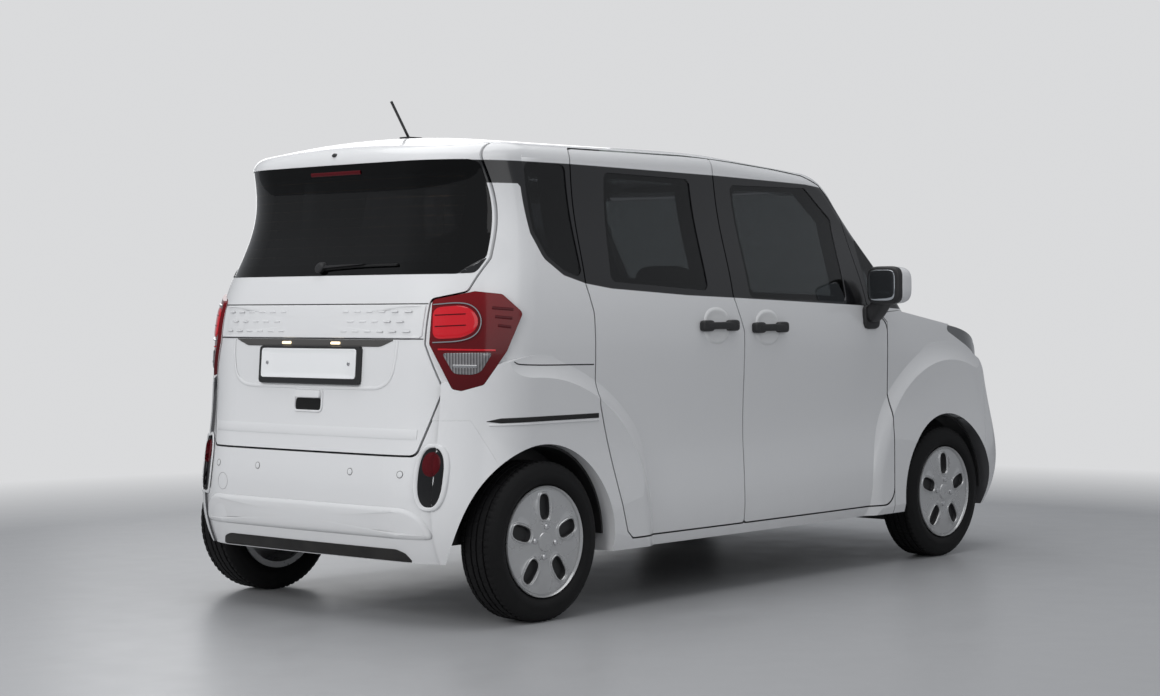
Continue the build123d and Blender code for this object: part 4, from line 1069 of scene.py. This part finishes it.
class CAR_OT_flanks(bpy.types.Operator):
    """Dress the flanks: handles with their cups, slide rail, seam and mirrors"""
    bl_idname = "car.flanks"
    bl_label = "Flanks"

    def execute(self, context):
        for side, tag in SIDES:
            view = RIGHT if tag == "right" else LEFT
            front_door = "door_front_" + tag
            rear_door, rear_body, rear_handle = REAR_DOORS[tag]
            self.handle(Trim(Skin(front_door), view, front_door), f"front_{tag}_handle", -0.205, 0.012, 0.996)
            self.handle(Trim(Skin(rear_door), view, rear_body), rear_handle, -0.520, -0.300, 1.007)
            if tag == "right":
                self.slide_rail(Trim(Skin("body_side_right"), view, "body"))
            self.mirror(Trim(Skin(front_door), view, front_door), side, tag)
        return {"FINISHED"}

    def handle(self, door, node, x0, x1, z):
        """A bar handle from x0 to x1 over its cup, in place of its node."""
        mid = (x0 + x1) / 2
        cup = oval(mid - 0.008, z, 0.080, 0.070, 2.3)
        door.moulding(f"cup_{node}", cup, CUP_RINGS, "cup_shade", count=80)
        block(f"grip_{node}", (x1 - x0 - 0.03, 0.018, 0.027), door.at(mid, z, 0.017), "black_plastic",
              door.body, power=4.0, cuts=13, replaces=(node,))
        for end, long, where in ((x0 + 0.034, 0.068, "b"), (x1 - 0.034, 0.066, "f")):
            block(f"grip_end_{node}_{where}", (long, 0.028, 0.042), door.at(end, z, 0.010), "black_plastic",
                  door.body, power=4.2, cuts=11)

    def slide_rail(self, quarter):
        quarter.strip("slide_rail", [(-1.596, 0.698), (-1.540, 0.700), (-1.098, 0.700)], 0.017, 0.0016,
                      "slot_black", steps=120, taper=0.10)
        quarter.strip("slide_rail_lip", [(-1.590, 0.685), (-1.098, 0.684)], 0.006, 0.003, "body_paint",
                      steps=120)
        quarter.strip("quarter_seam", [(-1.500, 0.898), (-1.476, 0.885), (-1.100, 0.879)], 0.0042, 0.0010,
                      "slot_black", steps=120)

    def mirror(self, door, side, tag):
        """A door mirror in place of its node: cap, bezel, glass, stalk and foot."""
        node = f"front_{tag}_mirror"
        low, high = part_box(node)
        head = Vector(((low.x + high.x) / 2, side * MIRROR_OUT, MIRROR_UP))
        for part, size, ahead, finish, power, cuts in MIRROR_HEAD:
            block(f"mirror_{part}_{tag}", size, head + Vector((ahead, 0, 0)), finish, door.body, power, cuts,
                  replaces=(node,) if part == "cap" else ())
        foot = door.at(head.x + 0.010, MIRROR_FOOT_UP, 0.0)
        block(f"mirror_stalk_{tag}", (0.092, 0.056, 0.150), (foot + head) / 2 + Vector((0, 0, -0.018)),
              "black_plastic", door.body, power=3.5, turn=Matrix.Rotation(-side * STALK_LEAN, 4, "X"))
        block(f"mirror_foot_{tag}", (0.110, 0.026, 0.100), foot + Vector((0, side * 0.006, 0)),
              "black_plastic", door.body, power=4)


# Headlamp eyes: across, up and radius.
LAMP_EYES = ((0.600, 0.862, 0.036), (0.502, 0.838, 0.030))
LAMP_BROW = ((0.700, 0.905), (0.640, 0.822), (0.480, 0.800))
FOG_ACROSS, FOG_UP = 0.540, 0.440


class CAR_OT_nose(bpy.types.Operator):
    """Dress the nose: lamp units, grille bars and lower intake"""
    bl_idname = "car.nose"
    bl_label = "Nose"

    def execute(self, context):
        bumper = Trim(Skin("front_bumper", "grille"), FRONT, "body")
        for row in range(4):
            bumper.moulding(f"grille_bar_{row}", box_outline(0, 0.668 + row * 0.021, 0.86, 0.009, 0.004),
                            [(0.0, 0.004), (0.002, 0.007)], "band_black", count=160)
        bumper.moulding("lower_intake", box_outline(0, 0.380, 0.92, 0.110, 0.040),
                        [(0.0, 0.001), (0.004, 0.002)], "slot_black", count=160)
        for row in range(3):
            bumper.moulding(f"intake_bar_{row}", box_outline(0, 0.352 + row * 0.028, 0.86, 0.010, 0.004),
                            [(0.0, 0.005), (0.002, 0.008)], "black_plastic", count=160, back=-0.001)
        lamp = Trim(Skin("headlamps"), FRONT, "body")
        for side, tag in SIDES:
            for at, up, size in LAMP_EYES:
                mark = f"{tag}_{int(at * 1000)}"
                lamp.rib(f"lamp_ring_{mark}", disc(side * at, up, size), 0.006, 0.004, "bright_trim",
                         count=60)
                lamp.moulding(f"lamp_eye_{mark}", disc(side * at, up, size * 0.8),
                              [(0.0, 0.001), (size * 0.2, 0.003), (size * 0.45, 0.005)], "mirror_glass",
                              count=48, slot="clear_lens")
            lamp.strip(f"lamp_brow_{tag}", [(side * y, z) for y, z in LAMP_BROW], 0.007, 0.003, "bright_trim",
                       steps=60)
            bumper.rib(f"fog_rim_{tag}", disc(side * FOG_ACROSS, FOG_UP, 0.046), 0.010, 0.005,
                       "black_plastic", count=60)
            bumper.moulding(f"fog_lamp_{tag}", disc(side * FOG_ACROSS, FOG_UP, 0.036),
                            [(0.0, 0.001), (0.008, 0.004), (0.020, 0.005)], "head_lens", count=48)
        return {"FINISHED"}


# Sewn channels of the seats: axis, place from -1 to 1, depth.
BOLSTERS = (("y", -0.58, 0.016), ("y", 0.58, 0.016))
BENCH_SEAMS = (("y", 0.0, 0.014), ("y", -0.5, 0.010), ("y", 0.5, 0.010))
SEAT_FROM_MIDDLE = 0.35


class CAR_OT_seats(bpy.types.Operator):
    """Build the padded seats in place of their plain solids"""
    bl_idname = "car.seats"
    bl_label = "Seats"

    def execute(self, context):
        crown = context.scene.car_detail.crown
        for side, tag in SIDES:
            y = side * SEAT_FROM_MIDDLE
            cushion(f"seat_cushion_{tag}", (0.46, 0.48, 0.13), (0.095, y, 0.575), -5, 5.5, crown,
                    BOLSTERS + (("x", 0.15, 0.010),), replaces=("front_seats",) if side < 0 else ())
            cushion(f"seat_back_{tag}", (0.54, 0.46, 0.105), (-0.165, y, 0.860), -75.5, 5.0, crown,
                    BOLSTERS + (("x", 0.20, 0.010),))
            cushion(f"head_rest_{tag}", (0.105, 0.26, 0.085), (-0.215, y, 1.185), -80, 3.6, crown * 0.5)
            block(f"seat_base_{tag}", (0.30, 0.38, 0.24), (0.06, y, 0.386), "black_plastic", "body", power=9)
        cushion("bench_cushion", (0.38, 1.18, 0.12), (-0.690, 0, 0.590), -5, 7, crown, BENCH_SEAMS,
                replaces=("rear_seat",))
        cushion("bench_back", (0.52, 1.18, 0.10), (-0.962, 0, 0.825), -78, 7, crown, BENCH_SEAMS)
        block("bench_base", (0.18, 1.08, 0.060), (-0.88, 0, 0.505), "black_plastic", "body", power=9)
        return {"FINISHED"}


# Lamps of the studio: name, place, aim, size, power and whether glossy surfaces mirror it.
LAMPS = (("overhead", (-0.5, 0.0, 5.2), (0, 0, 0.5), 6.0, 160.0, True),
         ("side_wash", (-1.5, -6.5, 3.2), (0, 0, 0.8), 4.5, 54.0, True),
         ("rear_wash", (-7.0, -0.5, 3.2), (-1.0, 0, 0.8), 4.0, 210.0, False),
         ("far_fill", (3.5, 5.5, 3.5), (0, 0, 0.8), 4.0, 70.0, True))
STUDIO_COLOUR, STUDIO_STRENGTH = (0.92, 0.95, 1.0, 1), 0.36
# The floor keeps its own colour this far out, then fades to the backdrop's over the next metres.
FLOOR_HALF, FLOOR_KEEPS, FLOOR_FADES = 30, 3.4, 2.6
SENSOR_WIDTH, CAMERA_REACH = 36.0, 200.0


def seen_ray(tree):
    """Whether a ray comes from the camera, straight or through glass."""
    path = tree.nodes.new("ShaderNodeLightPath")
    return maths(tree, "MAXIMUM", path.outputs["Is Camera Ray"], path.outputs["Is Transmission Ray"])


def mix_to_output(tree, factor, first, second, output):
    """Two shaders mixed by a factor into the tree's output."""
    blend = tree.nodes.new("ShaderNodeMixShader")
    tree.links.new(factor, blend.inputs["Fac"])
    tree.links.new(first.outputs[0], blend.inputs[1])
    tree.links.new(second.outputs[0], blend.inputs[2])
    tree.links.new(blend.outputs[0], tree.nodes[output].inputs["Surface"])


class CAR_OT_stage(bpy.types.Operator):
    """Set the floor, the light and the camera"""
    bl_idname = "car.stage"
    bl_label = "Stage"

    def execute(self, context):
        scene, stage = context.scene, context.scene.car_stage
        scene.view_settings.view_transform = "Standard"
        self.lay_floor(scene, stage)
        self.light_world(scene, stage)
        self.hang_lamps(scene)
        self.set_camera(scene, stage)
        return {"FINISHED"}

    def lay_floor(self, scene, stage):
        ground = Finish("stage_floor", stage.floor, 0.36, grain=4, spread=0.08, bump=0.01)
        x, y, _ = ground.axes()
        squares = [ground.maths("MULTIPLY", c, c) for c in (x, y)]
        out = ground.maths("SQRT", ground.maths("ADD", *squares))
        far = ground.maths("DIVIDE", ground.maths("SUBTRACT", out, FLOOR_KEEPS), FLOOR_FADES, clamp=True)
        pale = ground.tree.nodes.new("ShaderNodeEmission")
        pale.inputs["Color"].default_value = stage.wall
        mix_to_output(ground.tree, ground.maths("MULTIPLY", far, seen_ray(ground.tree)), ground.shader, pale,
                      "Material Output")
        h = FLOOR_HALF
        mesh = bpy.data.meshes.new("floor")
        mesh.from_pydata([(-h, -h, 0), (h, -h, 0), (h, h, 0), (-h, h, 0)], [], [(0, 1, 2, 3)])
        mesh.materials.append(MATERIALS["stage_floor"])
        floor = bpy.data.objects.new("floor", mesh)
        scene.collection.objects.link(floor)

    def light_world(self, scene, stage):
        scene.world = bpy.data.worlds.new("studio")
        scene.world.use_nodes = True
        tree = scene.world.node_tree
        light, wall = tree.nodes["Background"], tree.nodes.new("ShaderNodeBackground")
        for node, colour, strength in ((light, STUDIO_COLOUR, STUDIO_STRENGTH), (wall, stage.wall, 1.0)):
            node.inputs["Color"].default_value = colour
            node.inputs["Strength"].default_value = strength
        mix_to_output(tree, seen_ray(tree), light, wall, "World Output")

    def hang_lamps(self, scene):
        for name, at, aim, size, power, mirrored in LAMPS:
            data = bpy.data.lights.new(name, "AREA")
            data.size = size
            data.energy = power
            lamp = bpy.data.objects.new(name, data)
            scene.collection.objects.link(lamp)
            lamp.location = at
            lamp.visible_glossy = mirrored
            lamp.rotation_euler = (Vector(aim) - Vector(at)).to_track_quat("-Z", "Y").to_euler()

    def set_camera(self, scene, stage):
        yaw, pitch, roll = stage.camera_turn
        ahead = Vector((cos(pitch) * cos(yaw), cos(pitch) * sin(yaw), sin(pitch)))
        across = Vector((sin(yaw), -cos(yaw), 0))
        up = across.cross(ahead)
        right = across * cos(roll) + up * sin(roll)
        top = up * cos(roll) - across * sin(roll)
        data = bpy.data.cameras.new("camera")
        data.lens = stage.lens
        data.sensor_width = SENSOR_WIDTH
        data.sensor_fit = "HORIZONTAL"
        data.clip_end = CAMERA_REACH
        camera = bpy.data.objects.new("camera", data)
        scene.collection.objects.link(camera)
        turn = Matrix((right, top, -ahead)).transposed()
        camera.matrix_world = Matrix.Translation(stage.camera_at) @ turn.to_4x4()
        scene.camera = camera


OPERATORS = (CAR_OT_finishes, CAR_OT_tyres, CAR_OT_wheels, CAR_OT_tail, CAR_OT_tail_lamps, CAR_OT_flanks,
             CAR_OT_nose, CAR_OT_seats, CAR_OT_stage)


class CAR_PT_panel(bpy.types.Panel):
    """The car's settings and steps"""
    bl_idname = "CAR_PT_panel"
    bl_label = "Small White Car"
    bl_space_type = "VIEW_3D"
    bl_region_type = "UI"
    bl_category = "Car"

    def draw(self, context):
        for group in (context.scene.car_finish, context.scene.car_detail, context.scene.car_stage):
            box = self.layout.box()
            for label in group.bl_rna.properties.keys():
                if label not in ("rna_type", "name"):
                    box.prop(group, label)
        for operator in OPERATORS:
            self.layout.operator(operator.bl_idname)


SETTINGS = (("car_finish", CarFinishSettings), ("car_detail", CarDetailSettings),
            ("car_stage", CarStageSettings))


def register():
    for label, kind in SETTINGS:
        bpy.utils.register_class(kind)
        setattr(bpy.types.Scene, label, PointerProperty(type=kind))
    for kind in OPERATORS + (CAR_PT_panel,):
        bpy.utils.register_class(kind)


def unregister():
    for kind in reversed(OPERATORS + (CAR_PT_panel,)):
        bpy.utils.unregister_class(kind)
    for label, kind in reversed(SETTINGS):
        delattr(bpy.types.Scene, label)
        bpy.utils.unregister_class(kind)


def main():
    register()
    bpy.ops.car.finishes()
    bpy.ops.car.tyres()
    bpy.ops.car.wheels()
    bpy.ops.car.tail()
    bpy.ops.car.tail_lamps()
    bpy.ops.car.flanks()
    bpy.ops.car.nose()
    bpy.ops.car.seats()
    bpy.ops.car.stage()


if __name__ == "__main__":
    main()
